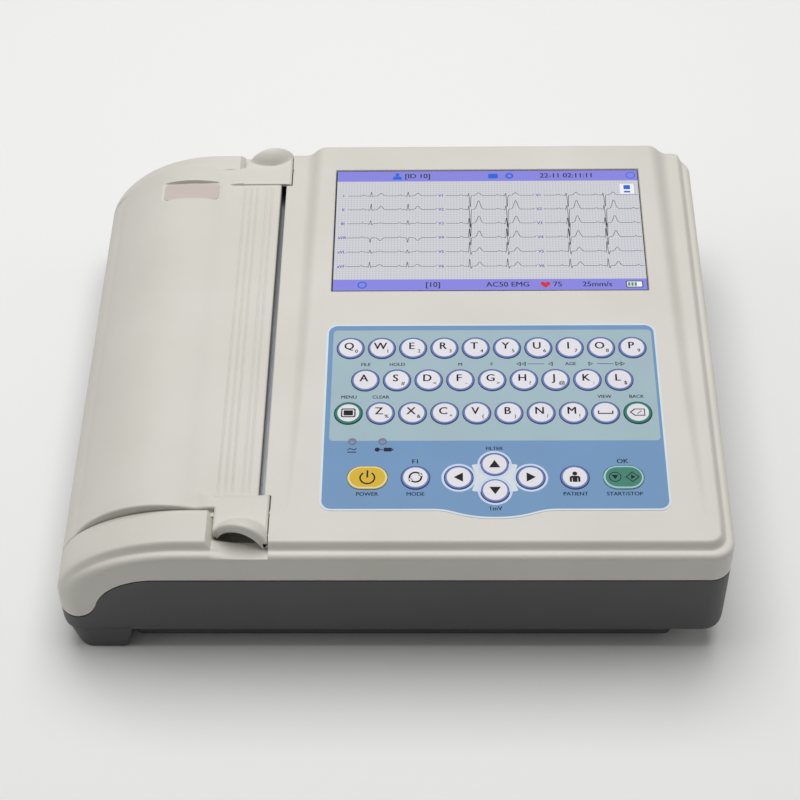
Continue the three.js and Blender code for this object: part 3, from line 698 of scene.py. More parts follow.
inlet_low, inlet_high = box_mm("mains_inlet")
rocker_low, rocker_high = box_mm("mains_switch")
socket_low, socket_high = box_mm("patient_connector")
INLET_HOLE = (inlet_low[0] - 0.5, inlet_high[0] + 0.5, inlet_low[2] - 0.5, inlet_high[2] + 0.5)
ROCKER_HOLE = (rocker_low[0] - 2.0, rocker_high[0] + 2.0, 24.5, 43.5)
SOCKET_HOLE = (socket_low[1] + 2.0, socket_high[1] - 2.0, 27.5, 40.5)
hole_heights = [hole[2:] for hole in (INLET_HOLE, ROCKER_HOLE, SOCKET_HOLE)]
base_wall = np.unique(np.concatenate([np.linspace(16, 53.4, 12), *hole_heights]))
base_ring = np.concatenate([CORNER - EDGE_STEPS[::2], CORNER + (base_wall - WALL_START)])
base_x = with_edges(lines((-144, -104, 1.6), (-104, 144, 8)), HALF_X - CORNER + base_ring,
                    -(HALF_X - CORNER + base_ring), INLET_HOLE[:2], ROCKER_HOLE[:2])
base_y = with_edges(lines((-120, 120, 8)), HALF_Y - CORNER + base_ring, -(HALF_Y - CORNER + base_ring),
                    SOCKET_HOLE[:2])


def base_skin(inset):
    """The draped sheet of the base; its wall rows keep one height each, cut off at the joint above them."""
    x, y, past = drape(base_x, base_y, HALF_X, HALF_Y, CORNER)
    bottom = belly_height(x, y) + inset
    top = parting_height(x) - SHADOW_GAP / 2
    z = np.where(past > 0, np.clip(past + WALL_START, bottom, top), bottom)
    return np.stack([x * (1 - inset / HALF_X), y * (1 - inset / HALF_Y), z], -1)


def wall_cells(keep, across, along):
    """Drops the cells of the cutouts in the back wall and in the right wall, whose rows stand for heights."""
    x = (across[:-1] + across[1:])[:, None] / 2
    y = (along[:-1] + along[1:])[None, :] / 2
    back_z = y - HALF_Y + WALL_START
    right_z = x - HALF_X + WALL_START
    for x0, x1, z0, z1 in (INLET_HOLE, ROCKER_HOLE):
        keep &= ~((x > x0) & (x < x1) & (back_z > z0) & (back_z < z1))
    y0, y1, z0, z1 = SOCKET_HOLE
    keep &= ~((y > y0) & (y < y1) & (right_z > z0) & (right_z < z1))
    return keep


base_keep = wall_cells(cells_outside(base_x, base_y, ()), base_x, base_y)
base = skin_piece("lower_case", base_skin(0), base_skin(WALL), base_keep, [charcoal_abs], *ON_BASE,
                  turned=True)
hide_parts("lower_housing")

# %% [markdown]
# ## Underside
# A shallow tray closes the underside, and two feet stand under the hinge side. A box with a bevel would do for
# the tray, but a drape gives its round corners and the bend round its floor in one step. A foot is a prism
# whose points are shifted to follow the round corner of the base.

# %% Plinth and feet
PLINTH = (-121.0, 131.0, 124.5, 1.0)


def plinth_skin(grow):
    """A low tray with a bend of 3 mm round its floor, open upwards against the belly."""
    x0, x1, half_y, floor = PLINTH
    centre = ((x0 + x1) / 2, 0.0)
    half_x, bend = (x1 - x0) / 2, 3.0
    steps = np.concatenate([np.linspace(0, bend, 7), bend + np.array([0.1, 1.0])])
    across = ring_lines(half_x, bend, steps)
    along = ring_lines(half_y, bend, steps)
    x, y, past = drape(across + centre[0], along, half_x, half_y, bend, centre)
    gap = edge_gap(x, y, half_x, half_y, bend, centre)
    share = past / past.max()
    z = (floor + rounded_drop(gap, bend)) * (1 - share) + (BELLY + 0.6) * share + grow * (1 - share)
    return np.stack([centre[0] + (x - centre[0]) * (1 - grow / half_x), y * (1 - grow / half_y), z], -1)


plinth_outer = plinth_skin(0)
skin_piece("plinth", plinth_outer, plinth_skin(2.0), every_cell(plinth_outer), [charcoal_abs], *ON_BASE,
           turned=True)
FOOT_TOP = 17.0
foot_outline = round_corners([(-152.4, FOOT_TOP), (-148, 0), (-124, 0), (-121, BELLY), (-121, FOOT_TOP)],
                             [0.5, 3.5, 3, 1, 0])


def under_corner(x, y, z):
    """Keeps a foot inside the base's round corner, leaning in towards the ground as its side does."""
    return np.maximum(x, left_outline(y) + 0.4 + 4.4 * (FOOT_TOP - z) / FOOT_TOP)


for end, start, stop, turn_in in (("front", -HALF_Y, -105, -1), ("back", 105, HALF_Y, 1)):
    outer_rows = np.sort(turn_in * (HALF_Y - np.linspace(2.0, 10.0, 9)))
    prism(f"left_foot_{end}", foot_outline, start, stop, [charcoal_abs], *ON_BASE, 1.5,
          rows=outer_rows, shift=under_corner)


# %% [markdown]
# ## The printer lid
# The lid follows the case's shoulder but stands proud of it as a low hump, so its profile is the same quarter
# ellipse pushed out by a sine. The profile is carried along Y. Shallow flutes run along it near the slit, a
# shallow recess holds a blank badge plate, and each end is rounded by letting the profile sink a little.

# %% Lid profile
HUMP, HUMP_END, SOFT = 4.4, 1.02, 5.0
FLUTES = np.array([-78.1, -74.8, -71.7, -66.8, -64.0])
BADGE = (-121.2, -90.6, 94.2, 107.2)


def swell(run):
    """How far the lid stands out of the case's shoulder, by the run along the ellipse past its start, in mm.

    HUMP * sin(pi * share ** 0.75), where share runs to 1 at the hump's end. A softened ramp, SOFT mm wide,
    starts it on the flat before the ellipse, so no crease shows.
    """
    ramp = SOFT * np.log1p(np.exp(run / SOFT)) / (HALF_X + SHOULDER_X)
    return HUMP * np.sin(math.pi * np.minimum(1, ramp / HUMP_END) ** 0.75) * ease((run + 13) / 14)


def lid_profile(inset):
    """Points across the lid from the slit to the hinge: flat, humped quarter ellipse, upright."""
    flat = with_edges(lines((-93, -80, 1.3)), lines((-79.6, -62.4, 0.3)), near(LID_EDGE - inset, -1, 1.5))
    flat_z = DECK + swell(SHOULDER_X - flat) - rounded_drop(LID_EDGE - inset - flat, 0.9) - inset
    angle = np.linspace(0, math.pi / 2, 90)[1:]
    out = swell(angle * (HALF_X + SHOULDER_X)) - inset
    arch = np.stack([SHOULDER_X - (HALF_X + SHOULDER_X + out) * np.sin(angle),
                     SHOULDER_Z + (DECK - SHOULDER_Z + out) * np.cos(angle)], -1)
    lip_z = np.array([DECK - 5.4, DECK - 4, DECK - 2.5])
    lip = np.stack([np.full(3, LID_EDGE - inset), np.minimum(lip_z, DECK - inset - 1.0)], -1)
    return np.concatenate([lip, np.stack([flat, flat_z], -1)[::-1], arch])


SLAB_FRONT, SLAB_BACK, SLAB_RISE = -98.4, 106.2, 1.2
TAB_X0, TAB_X1, TAB_TOP = -79.0, -54.2, DECK + SLAB_RISE
lid_y = with_edges(lines((-95, 104, 6), (BADGE[2] - 1, BADGE[3] + 1, 0.4)), near(LID_Y0, 1, 1.5),
                   near(LID_Y1, -1, 1.5),
                   [SLAB_FRONT - 0.02, SLAB_FRONT + 0.25, SLAB_BACK - 0.25, SLAB_BACK + 0.02])
lid_outline = lid_profile(0)
badge_x = lines((BADGE[0] - 1, BADGE[1] + 1, 0.5))
lid_share = np.arange(len(lid_outline), dtype=float)
badge_share = np.interp(-badge_x, -lid_outline[:, 0], lid_share)
lid_share = with_edges(lid_share, badge_share[(badge_share > 60)])


def badge_floor(x):
    """Depth of the recess's flat floor under the curved lid: its height over its chord, and a little more."""
    ends = np.array(BADGE[:2])
    curve = np.interp(-x, -lid_outline[3:, 0], lid_outline[3:, 1])
    chord = np.interp(x, ends, np.interp(-ends, -lid_outline[3:, 0], lid_outline[3:, 1]))
    return np.clip((curve - chord) * 0.9, 0, 1.85) + 0.35


def badge_dip(x, y):
    """Depth of the badge recess: full inside a rounded rectangle, easing to nothing across its edge."""
    x0, x1, y0, y1 = BADGE
    gap = edge_gap(x, y, (x1 - x0) / 2, (y1 - y0) / 2, 2.0, ((x0 + x1) / 2, (y0 + y1) / 2))
    return badge_floor(x) * ease(0.5 + gap / 0.5)


def off_shoulder(x, z):
    """Unit direction away from the shoulder's axis, in the plane across the lid."""
    away = np.stack([np.minimum(x - SHOULDER_X, 0), np.maximum(z - SHOULDER_Z, 0)], -1)
    return away / np.maximum(np.linalg.norm(away, axis=-1, keepdims=True), 1e-9)


def lid_skin(inset):
    """The lid's profile along Y, sunk by the end roundings, the flutes and the badge recess."""
    profile = lid_profile(inset)
    count = np.arange(len(profile))
    along_x = np.interp(lid_share, count, profile[:, 0])
    along_z = np.interp(lid_share, count, profile[:, 1])
    x = np.broadcast_to(along_x[:, None], (len(lid_share), len(lid_y)))
    z = np.broadcast_to(along_z[:, None], x.shape)
    y = np.broadcast_to(lid_y[None, :], x.shape)
    end = rounded_drop(np.minimum(y - LID_Y0, LID_Y1 - y), 1.1) if inset == 0 else 0
    away = off_shoulder(x, z)
    flute = sum(0.4 * np.exp(-((x - place) / 0.45) ** 2) for place in FLUTES)
    flute = flute * ease((y - SLAB_FRONT - 0.5) / 2) * ease((SLAB_BACK - 0.5 - y) / 2)
    raised = (y < SLAB_FRONT) | (y > SLAB_BACK)
    slab_gap = np.maximum(SLAB_RISE * ease((x + 91) / 10) - np.maximum(z - DECK, 0), 0)
    flute = flute - slab_gap * raised * (x < TAB_X0 + 0.05)
    sink = end + (flute + badge_dip(x, y)) * (z > 60) * (inset == 0)
    return np.stack([x - away[..., 0] * sink, y, z - away[..., 1] * sink], -1)


lid_outer = lid_skin(0)
lid = skin_piece("lid_shell", lid_outer, lid_skin(WALL), every_cell(lid_outer), [ivory_abs], *ON_LID,
                 turned=True)
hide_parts("printer_lid")

# %% [markdown]
# ## The badge
# A thin plate with round corners lies in the recess of the lid. It carries no name here. It is a drape set down
# onto the profile of the lid and sunk to the floor of the recess, so it fits the recess all round.

# %% Blank badge plate


def badge_plate():
    """A thin rounded plate laid in the recess: the draped sheet, set down onto the lid's profile."""
    x0, x1, y0, y1 = BADGE
    centre = ((x0 + x1) / 2, (y0 + y1) / 2)
    half_x, half_y, bend = (x1 - x0) / 2 - 0.9, (y1 - y0) / 2 - 0.9, 1.6
    steps = np.concatenate([np.linspace(0, bend, 7), bend + np.array([0.06, 0.12])])
    across = ring_lines(half_x, bend, steps, lines((-half_x + bend, half_x - bend, 1.0))[1:-1])
    along = ring_lines(half_y, bend, steps)
    x, y, past = drape(across + centre[0], along + centre[1], half_x, half_y, bend, centre)
    z = np.interp(-x, -lid_outline[3:, 0], lid_outline[3:, 1])
    away = off_shoulder(x, z)
    floor = badge_floor(x)
    sink = floor - np.where(past > 0, 0.05, 0.35)
    depths = (sink, floor + 0.05)
    return [np.stack([x - away[..., 0] * depth, y, z - away[..., 1] * depth], -1) for depth in depths]


plate_top, plate_under = badge_plate()
skin_piece("badge_plate", plate_top, plate_under, every_cell(plate_top), [badge_film], *ON_LID)

# %% [markdown]
# ## Inside the lid
# A barrel along the low edge turns on the steel rod, a web stiffens each end, and two arms carry the rubber
# roller that presses the paper onto the print head. Rod and roller are read from the frame, so these pieces
# turn about the same lines as the CAD model.

# %% Ribs, hinge barrel and bearings inside the lid
rod_low, rod_high = box_mm("lid_hinge_rod")
HINGE_X, HINGE_Z = (rod_low[0] + rod_high[0]) / 2, (rod_low[2] + rod_high[2]) / 2
platen_low, platen_high = box_mm("platen_roller")
PLATEN_X, PLATEN_Z = (platen_low[0] + platen_high[0]) / 2, (platen_low[2] + platen_high[2]) / 2


def tube(name, x, z, outer, inner, start, stop, looks, body, slot, steps=48):
    """A tube along Y: its section, a small rounded rectangle of wall, is carried once round the axis."""
    section = round_corners([(start, inner), (stop, inner), (stop, outer), (start, outer)], [0.3] * 4, 4)
    angle = np.linspace(0, 2 * math.pi, steps + 1)[:-1]
    points = np.stack([x + section[None, :, 1] * np.cos(angle)[:, None],
                       np.broadcast_to(section[None, :, 0], (steps, len(section))),
                       z + section[None, :, 1] * np.sin(angle)[:, None]], -1)
    i, j = np.meshgrid(np.arange(steps), np.arange(len(section)), indexing="ij")
    after_i, after_j = (i + 1) % steps, (j + 1) % len(section)
    size = len(section)
    faces = np.stack([i * size + j, i * size + after_j, after_i * size + after_j, after_i * size + j], -1)
    return make_piece(name, points.reshape(-1, 3), faces.reshape(-1, 4), looks, body, slot, crease=40)


tube("lid_hinge_barrel", HINGE_X, HINGE_Z, 6.98, 2.3, LID_Y0 + 0.1, LID_Y1 - 0.1, [ivory_abs], *ON_LID)


def lid_rib():
    """The stiffening web inside each end of the lid, between the arch and a line 8 mm under it."""
    outer = lid_profile(1.2)[3:]
    inner = lid_profile(7.5)[3:]
    inner = inner[inner[:, 0] < -90]
    outer = outer[::4]
    return np.concatenate([outer, inner[::4][::-1], [(-90, DECK - 6), (outer[0, 0], DECK - 6)]])


bearing = circle(PLATEN_X, PLATEN_Z, 6.2, 24)
bearing_arm = np.concatenate([[(PLATEN_X - 6, DECK - 1.2)], bearing[bearing[:, 1] < PLATEN_Z],
                              [(PLATEN_X + 6, DECK - 1.2)]])
for end, start in (("front", LID_Y0 + 0.05), ("back", LID_Y1 - 2.05)):
    prism(f"lid_rib_{end}", lid_rib(), start, start + 2, [ivory_abs], *ON_LID, 0.2)
    prism(f"platen_arm_{end}", bearing_arm, start, start + 2, [ivory_abs], *ON_LID, 0.2)

# %% [markdown]
# ## The lift tabs
# At each end the lid has a flat tongue for a fingertip. Towards its slanted end the tongue swells into a low
# dome over an open mouth, and its sides fold down as skirts. It is one channel: a profile across the tongue
# whose middle rises with the dome, carried from the root to the tip.

# %% Lift tabs


def tab_skin(root, tip, side, back_off, inset):
    """Profile across: skirt, rounded edge, top, rounded edge, skirt. The top is the higher of the slab and an
    ellipsoid centred on the mouth; rows run from the root to a tip that slants back by 6 mm on the left."""
    half = (TAB_X1 - TAB_X0) / 2
    middle = (TAB_X0 + TAB_X1) / 2
    bend = 1.3
    arc = np.linspace(0, math.pi / 2, 7)
    side_x = np.concatenate([[0, 0, 0], bend * (1 - np.cos(arc))])
    side_z = np.concatenate([[-4.6, -3.2, -2.2], -bend + bend * np.sin(arc)])
    flat_x = np.linspace(bend, 2 * half - bend, 34)[1:-1]
    across = np.concatenate([side_x, flat_x, 2 * half - side_x[::-1]])
    fall = np.concatenate([side_z, 0 * flat_x, side_z[::-1]])
    rows = np.linspace(0, 1, 40) ** 0.8
    x = TAB_X0 + across
    end = tip - side * 6.0 * (1 - across / (2 * half))
    y = root + (end[:, None] - root) * rows[None, :]
    x = np.broadcast_to(x[:, None], y.shape)
    mouth = tip - side * back_off
    bulge = 1 - ((x - middle) / 12.35) ** 2 - ((y - mouth) / 9.0) ** 2
    dome = DECK + 8.2 * np.maximum(bulge, 0) ** 0.68
    blend = 1.6
    top = -soft_min(-dome, -np.full_like(dome, TAB_TOP), blend)
    to_tip = np.abs(end[:, None] - y)
    lip = rounded_drop(to_tip, 1.5)
    inset = inset * (1 + 0.9 * ease(1 - to_tip / 3.0))
    root_drop = rounded_drop(np.abs(y - root), 0.5)
    lift = np.where(fall[:, None] < -2, 0, top - TAB_TOP)
    on_lid = (np.where(side < 0, y - LID_Y0, LID_Y1 - y) > 0) & (x < middle) & (fall[:, None] > -2)
    fall = np.where(on_lid, 0, fall[:, None])
    z = TAB_TOP + lift + fall - (lip + root_drop + inset) * (fall > -2)
    x = middle + (x - middle) * (1 - np.minimum(inset, 1.8) / half)
    return np.stack([x, y, z], -1)


TABS = (("front", SLAB_FRONT, -124.6, -1, 3.6), ("back", SLAB_BACK, 129.4, 1, 1.2))
for end, root, tip, side, back_off in TABS:
    outer = tab_skin(root, tip, side, back_off, 0)
    skin_piece(f"lift_tab_{end}", outer, tab_skin(root, tip, side, back_off, 1.8), every_cell(outer),
               [ivory_abs], *ON_LID, turned=side < 0)

# %% [markdown]
# ## Printing on flat panels
# The keyboard film, its printed panels, rings, symbols and letters are flat shapes with holes. Blender's 2D
# curves fill such shapes by themselves, so each is drawn as closed outlines, given a hair of thickness, made
# a mesh, and only then tilted onto the console. One function serves the film, the ink and the screen.

# %% Flat shapes on the console


def on_console(points):
    """Turns panel points (across, up the panel, out of it) into the case's frame, in millimetres."""
    x, y, z = np.asarray(points, dtype=float).T
    c, s = math.cos(TILT), math.sin(TILT)
    return np.stack([PANEL_X + x, PANEL_Y + y * c - z * s, console_height(PANEL_Y) + y * s + z * c], -1)


def flat_mesh(outlines, texts, low, high):
    """Closed outlines with holes where they nest, and (text, x, y, size) labels, filled between two heights.

    Each label is drawn twice, a little apart, which gives it a bold stroke.
    """
    points, faces = [], []
    data = bpy.data.curves.new("outline", "CURVE")
    data.dimensions = "2D"
    data.fill_mode = "BOTH"
    data.extrude = (high - low) / 2
    for outline in outlines:
        spline = data.splines.new("POLY")
        spline.points.add(len(outline) - 1)
        spline.points.foreach_set("co", np.column_stack([outline, np.zeros(len(outline)),
                                                          np.ones(len(outline))]).ravel())
        spline.use_cyclic_u = True
    sources = [(data, 0.0, 0.0)] if outlines else []
    for text, x, y, size in texts:
        font = bpy.data.curves.new("label", "FONT")
        font.body = text
        font.size = size
        font.align_x = "CENTER"
        font.align_y = "CENTER"
        font.resolution_u = 3
        font.extrude = (high - low) / 2
        for nudge in (-0.02 * size, 0.02 * size):
            sources.append((font, x + nudge, y))
    count = 0
    for curve, x, y in sources:
        holder = bpy.data.objects.new("holder", curve)
        mesh = bpy.data.meshes.new_from_object(holder)
        place = np.empty(len(mesh.vertices) * 3)
        mesh.vertices.foreach_get("co", place)
        points.append(place.reshape(-1, 3) + [x, y, (low + high) / 2])
        faces += [[vertex + count for vertex in face.vertices] for face in mesh.polygons]
        count += len(mesh.vertices)
        bpy.data.objects.remove(holder)
        bpy.data.meshes.remove(mesh)
    return np.concatenate(points), faces


def flat_piece(name, look, body, slot, low, high, outlines=(), texts=()):
    """A flat piece of the console: film, ink or screen graphics, tilted with the panel."""
    points, faces = flat_mesh(outlines, texts, low, high)
    return make_piece(name, on_console(points), faces, [look], body, slot, smooth=False)


def rounded_box(x0, x1, y0, y1, radius):
    """A rectangle with round corners."""
    return round_corners([(x0, y0), (x1, y0), (x1, y1), (x0, y1)], [radius] * 4, 8)


# %% [markdown]
# ## The keyboard film and its keys
# The keyboard is a polycarbonate film, printed from behind, with round keys that stand just proud of it. The
# film is blue with a paler panel behind the letter keys. A key is a turned shape: the radius and height along
# its profile, carried round its centre, with the profile split where the printed ring begins.

# %% Inks and films


def printed_film(name, hex_value, roughness=0.5, coat=0.0):
    """Screen-printed polycarbonate: even ink under a satin skin with a very fine texture."""
    material, tree, shader, place = new_finish(name)
    speck = add(tree, "ShaderNodeTexNoise", {"Scale": per_mm(0.25), "Detail": 1}, {"Vector": place})
    cloud = add(tree, "ShaderNodeTexNoise", {"Scale": per_mm(25), "Detail": 2}, {"Vector": place})
    tone = add(tree, "ShaderNodeMapRange",
               {"From Min": 0.3, "From Max": 0.7, "To Min": 0.95, "To Max": 1.0},
               {"Value": cloud.outputs["Fac"]})
    tint = add(tree, "ShaderNodeHueSaturation", {"Color": colour(hex_value)}, {"Value": tone.outputs[0]})
    bump = add(tree, "ShaderNodeBump", {"Strength": 0.12, "Distance": 0.01 * MM},
               {"Height": speck.outputs["Fac"]})
    tree.links.new(tint.outputs[0], shader.inputs["Base Color"])
    tree.links.new(bump.outputs[0], shader.inputs["Normal"])
    set_values(shader, Roughness=roughness, Coat_Weight=coat, Coat_Roughness=0.2, Specular_IOR_Level=0.3)
    return material


blue_film = printed_film("blue_printed_polycarbonate", "#7096C0")
# A pale colour for the band round the film's edge: a painted highlight where its bevelled edge catches the
# light.
painted_highlight_film = printed_film("painted_highlight_on_film_edge", "#D9E4EA")
panel_film = printed_film("pale_printed_polycarbonate", "#A3BBC4")
white_key_film = printed_film("white_key_polycarbonate", "#E6E4EA")
ring_blue_ink = printed_film("blue_ring_ink", "#6B80BC")
ring_green_ink = printed_film("green_ring_ink", "#1F7A6A")
lilac_ink = printed_film("lilac_halo_ink", "#CBDAF1")
web_ink = printed_film("off_white_web_ink", "#D9E0E4")
yellow_film = printed_film("yellow_key_polycarbonate", "#D9B422")
pale_yellow_ink = printed_film("pale_yellow_outline_ink", "#E9DDA0")
green_film = printed_film("green_key_polycarbonate", "#37806F")
pale_cyan_ink = printed_film("pale_cyan_outline_ink", "#A9D3D0")
navy_ink = printed_film("navy_legend_ink", "#16213F", 0.7, 0.0)
black_ink = printed_film("black_legend_ink", "#101013", 0.7, 0.0)
grey_lens = printed_film("grey_lamp_lens", "#76839A", 0.4, 0.1)

# %% [markdown]
# ## Film and key places
# The film has a hole for every key, so the places of the keys come first. They are read from the frame and
# turned into panel coordinates: across, and up the slope. The printed layers lie a few hundredths of a
# millimetre apart, because faces in the same plane would show as noise.

# %% Key places, read from the frame


def key_place(name):
    """Where a key lies on the panel: across, up the panel, and the length of its straight part."""
    low, high = box_mm(f"key_{name}")
    across = (low[0] + high[0]) / 2 - PANEL_X
    up = ((low[1] + high[1]) / 2 - PANEL_Y) / math.cos(TILT)
    return across, up, (high[0] - low[0]) - (high[1] - low[1])


KEY_RADIUS = 6.5
key_names = [name[4:] for name in nodes if name.startswith("key_")]
places = {name: key_place(name) for name in key_names}
print(len(places), "keys; q at", np.round(places["q"], 2), "power at", np.round(places["power"], 2))

# %% Film, its printing and a painted highlight round its edge


def film_outline(grow=0.0):
    """The film: round corners, and a shallow dip in its lower edge round the lowest key."""
    half, top, side, low, corner = 79.3 + grow, 15.4 + grow, -95.9 - grow, -100.4 - grow, 5.5 + grow
    dip = bezier(16, [(-28, side), (-18, side), (-16, low), (0, low)],
                 [(0, low), (16, low), (18, side), (28, side)])
    corners = rounded_box(-half, half, side, top, corner)
    return np.concatenate([corners[:8], dip, corners[8:]])


key_holes = [circle(x, y, KEY_RADIUS + 0.3, 40, long) for x, y, long in places.values()]
film = flat_piece("keyboard_film", blue_film, *ON_FILM, 0.0, 0.22, [film_outline(-1.0), *key_holes])
# A pale ring 1 mm wide round the film, just under its edge, is a painted highlight along the bevelled edge, not
# print.
flat_piece("keyboard_film_painted_highlight", painted_highlight_film, *ON_FILM, 0.0, 0.2, [film_outline(0.0), film_outline(-1.0)])
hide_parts("keypad_overlay")
LETTER_PANEL = rounded_box(-76, 77, -56.2, 11.5, 2.0)
letter_holes = [circle(x, y, KEY_RADIUS + 0.3, 40, long) for x, y, long in places.values() if y > -50]
flat_piece("letter_panel_print", panel_film, *ON_FILM, 0.221, 0.24, [LETTER_PANEL, *letter_holes])

# %% [markdown]
# ## Key caps
# A cap is turned about its own axis, as on a lathe: one profile of radius and height is carried round. The
# colour of the ring starts at a chosen point of the profile, so its edge is exact and needs no texture.

# %% Keys


def key_cap(name, x, y, long, centre_look, ring_look, ring_start):
    """A turned key: flat middle, a printed ring from ring_start outwards, a rounded edge and a flange."""
    edge = np.linspace(0, math.pi / 2, 6)
    radius = np.concatenate([[0.02, 2.5, 4.2, ring_start, ring_start + 0.02, 5.95],
                             5.95 + 0.53 * np.sin(edge[1:]), [6.48, 7.1, 7.1, 0.02]])
    height = np.concatenate([[0.74, 0.74, 0.74, 0.73, 0.73, 0.72], 0.2 + 0.52 * np.cos(edge[1:]),
                             [-0.86, -0.86, -1.58, -1.58]])
    steps = 48
    angle = np.arange(steps) * 2 * math.pi / steps + math.pi / steps
    px = x + radius[None, :] * np.cos(angle)[:, None] + np.sign(np.cos(angle))[:, None] * long / 2
    py = y + radius[None, :] * np.sin(angle)[:, None]
    points = np.stack([px, py, np.broadcast_to(height, px.shape)], -1).reshape(-1, 3)
    size = len(radius)
    i, j = np.meshgrid(np.arange(steps), np.arange(size - 1), indexing="ij")
    after = (i + 1) % steps
    side = np.stack([i * size + j, i * size + j + 1, after * size + j + 1, after * size + j], -1)
    looks = (j.ravel() >= 3).astype(int)
    faces = [list(face) for face in side.reshape(-1, 4)]
    faces.append([step * size for step in range(steps)])
    faces.append([step * size + size - 1 for step in range(steps)][::-1])
    paint = {"power": "key_yellow", "start_stop": "key_green"}.get(name, "key_white")
    cap = make_piece(f"key_cap_{name}", on_console(points), faces, [centre_look, ring_look],
                     f"key_{name}_cap", paint, face_look=[*looks, 0, 1], crease=35)
    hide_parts(f"key_{name}")
    return cap


for name, (x, y, long) in places.items():
    if name == "power":
        key_cap(name, x, y, long, yellow_film, pale_yellow_ink, 5.5)
    elif name == "start_stop":
        key_cap(name, x, y, long, green_film, pale_cyan_ink, 5.55)
    elif name in ("menu", "backspace"):
        key_cap(name, x, y, long, white_key_film, ring_green_ink, 5.15)
    else:
        key_cap(name, x, y, long, white_key_film, ring_blue_ink, 5.5)
print("keys made")

# %% [markdown]
# ## Legends
# Letters keep to the plain alphabet, and the other keys get common symbols: a power mark, arrows, a person,
# a return ring. Each key's ink is one mesh that rides on its key, so it sinks with the key.

# %% Symbols
INK_LOW, INK_HIGH = 0.745, 0.765


def band(x, y, radius, width, start=0.0, stop=360.0, steps=28):
    """A ring, or part of one between two angles in degrees, as closed outlines."""
    angle = np.radians(np.linspace(start, stop, steps))
    outer = np.stack([x + (radius + width / 2) * np.cos(angle), y + (radius + width / 2) * np.sin(angle)], -1)
    inner = np.stack([x + (radius - width / 2) * np.cos(angle), y + (radius - width / 2) * np.sin(angle)], -1)
    if stop - start >= 360:
        return [outer[:-1], inner[:-1]]
    return [np.concatenate([outer, inner[::-1]])]


def stroke(points, width):
    """A line of straight pieces with a width, as one closed outline."""
    points = np.asarray(points, dtype=float)
    run = np.gradient(points, axis=0)
    run /= np.linalg.norm(run, axis=1, keepdims=True)
    aside = np.stack([-run[:, 1], run[:, 0]], -1) * width / 2
    return np.concatenate([points + aside, (points - aside)[::-1]])


def triangle(x, y, size, turn):
    """A filled triangle that points along an angle in degrees."""
    angle = math.radians(turn)
    c, s = math.cos(angle), math.sin(angle)
    corners = np.array([(size * 0.55, 0), (-size * 0.45, size * 0.62), (-size * 0.45, -size * 0.62)])
    return corners @ np.array([(c, s), (-s, c)]) + [x, y]


def legend(name, look, outlines=(), texts=()):
    """The ink on one key's cap."""
    flat_piece(f"key_ink_{name}", look, f"key_{name}_cap", "key_white", INK_LOW, INK_HIGH, outlines, texts)


SMALL_MARKS = dict(zip("qwertyuiopsdfghjklzxcvbnm", "0123456789#<->?@:$%&*()/!"))
for name in "qwertyuiopasdfghjklzxcvbnm":
    x, y, _ = places[name]
    labels = [(name.upper(), x - 0.7, y + 0.9, 6.0)]
    if name in SMALL_MARKS:
        labels.append((SMALL_MARKS[name], x + 2.9, y - 2.2, 2.9))
    legend(name, black_ink, texts=labels)

x, y, _ = places["menu"]
legend("menu", black_ink, [rounded_box(x - 3.4, x + 3.4, y - 2.6, y + 2.6, 0.8),
                           rounded_box(x - 2.8, x + 2.8, y - 2.0, y + 2.0, 0.5),
                           rounded_box(x - 2.2, x + 2.2, y - 1.5, y + 1.5, 0.3)])
x, y, _ = places["space"]
space_bar = np.array([(x - 3.6, y + 1), (x - 3.6, y - 1), (x + 3.6, y - 1), (x + 3.6, y + 1),
                      (x + 3.0, y + 1), (x + 3.0, y - 0.4), (x - 3.0, y - 0.4), (x - 3.0, y + 1)])
legend("space", black_ink, [space_bar])
x, y, _ = places["backspace"]
tag = np.array([(x - 3.9, y), (x - 1.6, y + 2.1), (x + 3.3, y + 2.1), (x + 3.3, y - 2.1), (x - 1.6, y - 2.1)])
tag_in = (tag - [x, y]) * [0.84, 0.78] + [x + 0.1, y]
legend("backspace", black_ink, [tag, tag_in, stroke([(x - 0.3, y - 0.9), (x + 1.8, y + 0.9)], 0.35)],
       [("/", x + 0.7, y, 0.1)])
x, y, _ = places["power"]
legend("power", black_ink, [*band(x, y - 0.3, 3.3, 0.75, 125, 415),
                            rounded_box(x - 0.4, x + 0.4, y - 0.2, y + 4, 0.2)])
x, y, _ = places["mode"]
legend("mode", black_ink, [*band(x, y, 2.7, 0.85, 50, 222), *band(x, y, 2.7, 0.85, 230, 402),
                           triangle(x - 2.5, y - 1.5, 1.9, 250), triangle(x + 2.5, y + 1.5, 1.9, 70)])
for name, turn in (("left", 180), ("up", 90), ("right", 0), ("down", 270)):
    x, y, _ = places[name]
    legend(name, black_ink, [triangle(x, y, 4.2, turn)])
x, y, _ = places["patient"]
person = round_corners([(x - 2.4, y - 2.8), (x - 1.4, y - 2.8), (x - 1.4, y - 0.6), (x - 1.1, y - 0.6),
                        (x - 1.1, y - 2.8), (x + 1.1, y - 2.8), (x + 1.1, y - 0.6), (x + 1.4, y - 0.6),
                        (x + 1.4, y - 2.8), (x + 2.4, y - 2.8), (x + 2.4, y + 0.6), (x - 2.4, y + 0.6)],
                       [0.3, 0.3, 0, 0, 0, 0, 0, 0, 0.3, 0.3, 1.1, 1.1])
legend("patient", black_ink, [person, circle(x, y + 1.9, 1.1, 24)])
x, y, _ = places["start_stop"]
diamond = np.array([(3.2, 0), (0, 3.0), (-3.2, 0), (0, -3.0)])
legend("start_stop", black_ink, [*band(x - 3.9, y, 2.6, 0.4), triangle(x - 3.9, y, 2.4, 270),
                                 diamond + [x + 4, y], diamond * 0.8 + [x + 4, y],
                                 triangle(x + 4.2, y, 2.0, 0)])

# %% [markdown]
# ## Captions
# Between the keys the film carries words, small marks and pale rings. They are plain names of functions in
# the default typeface. They are made like the legends, but ride on the film, which stays put when a key sinks.

# %% Printing round the lower keys


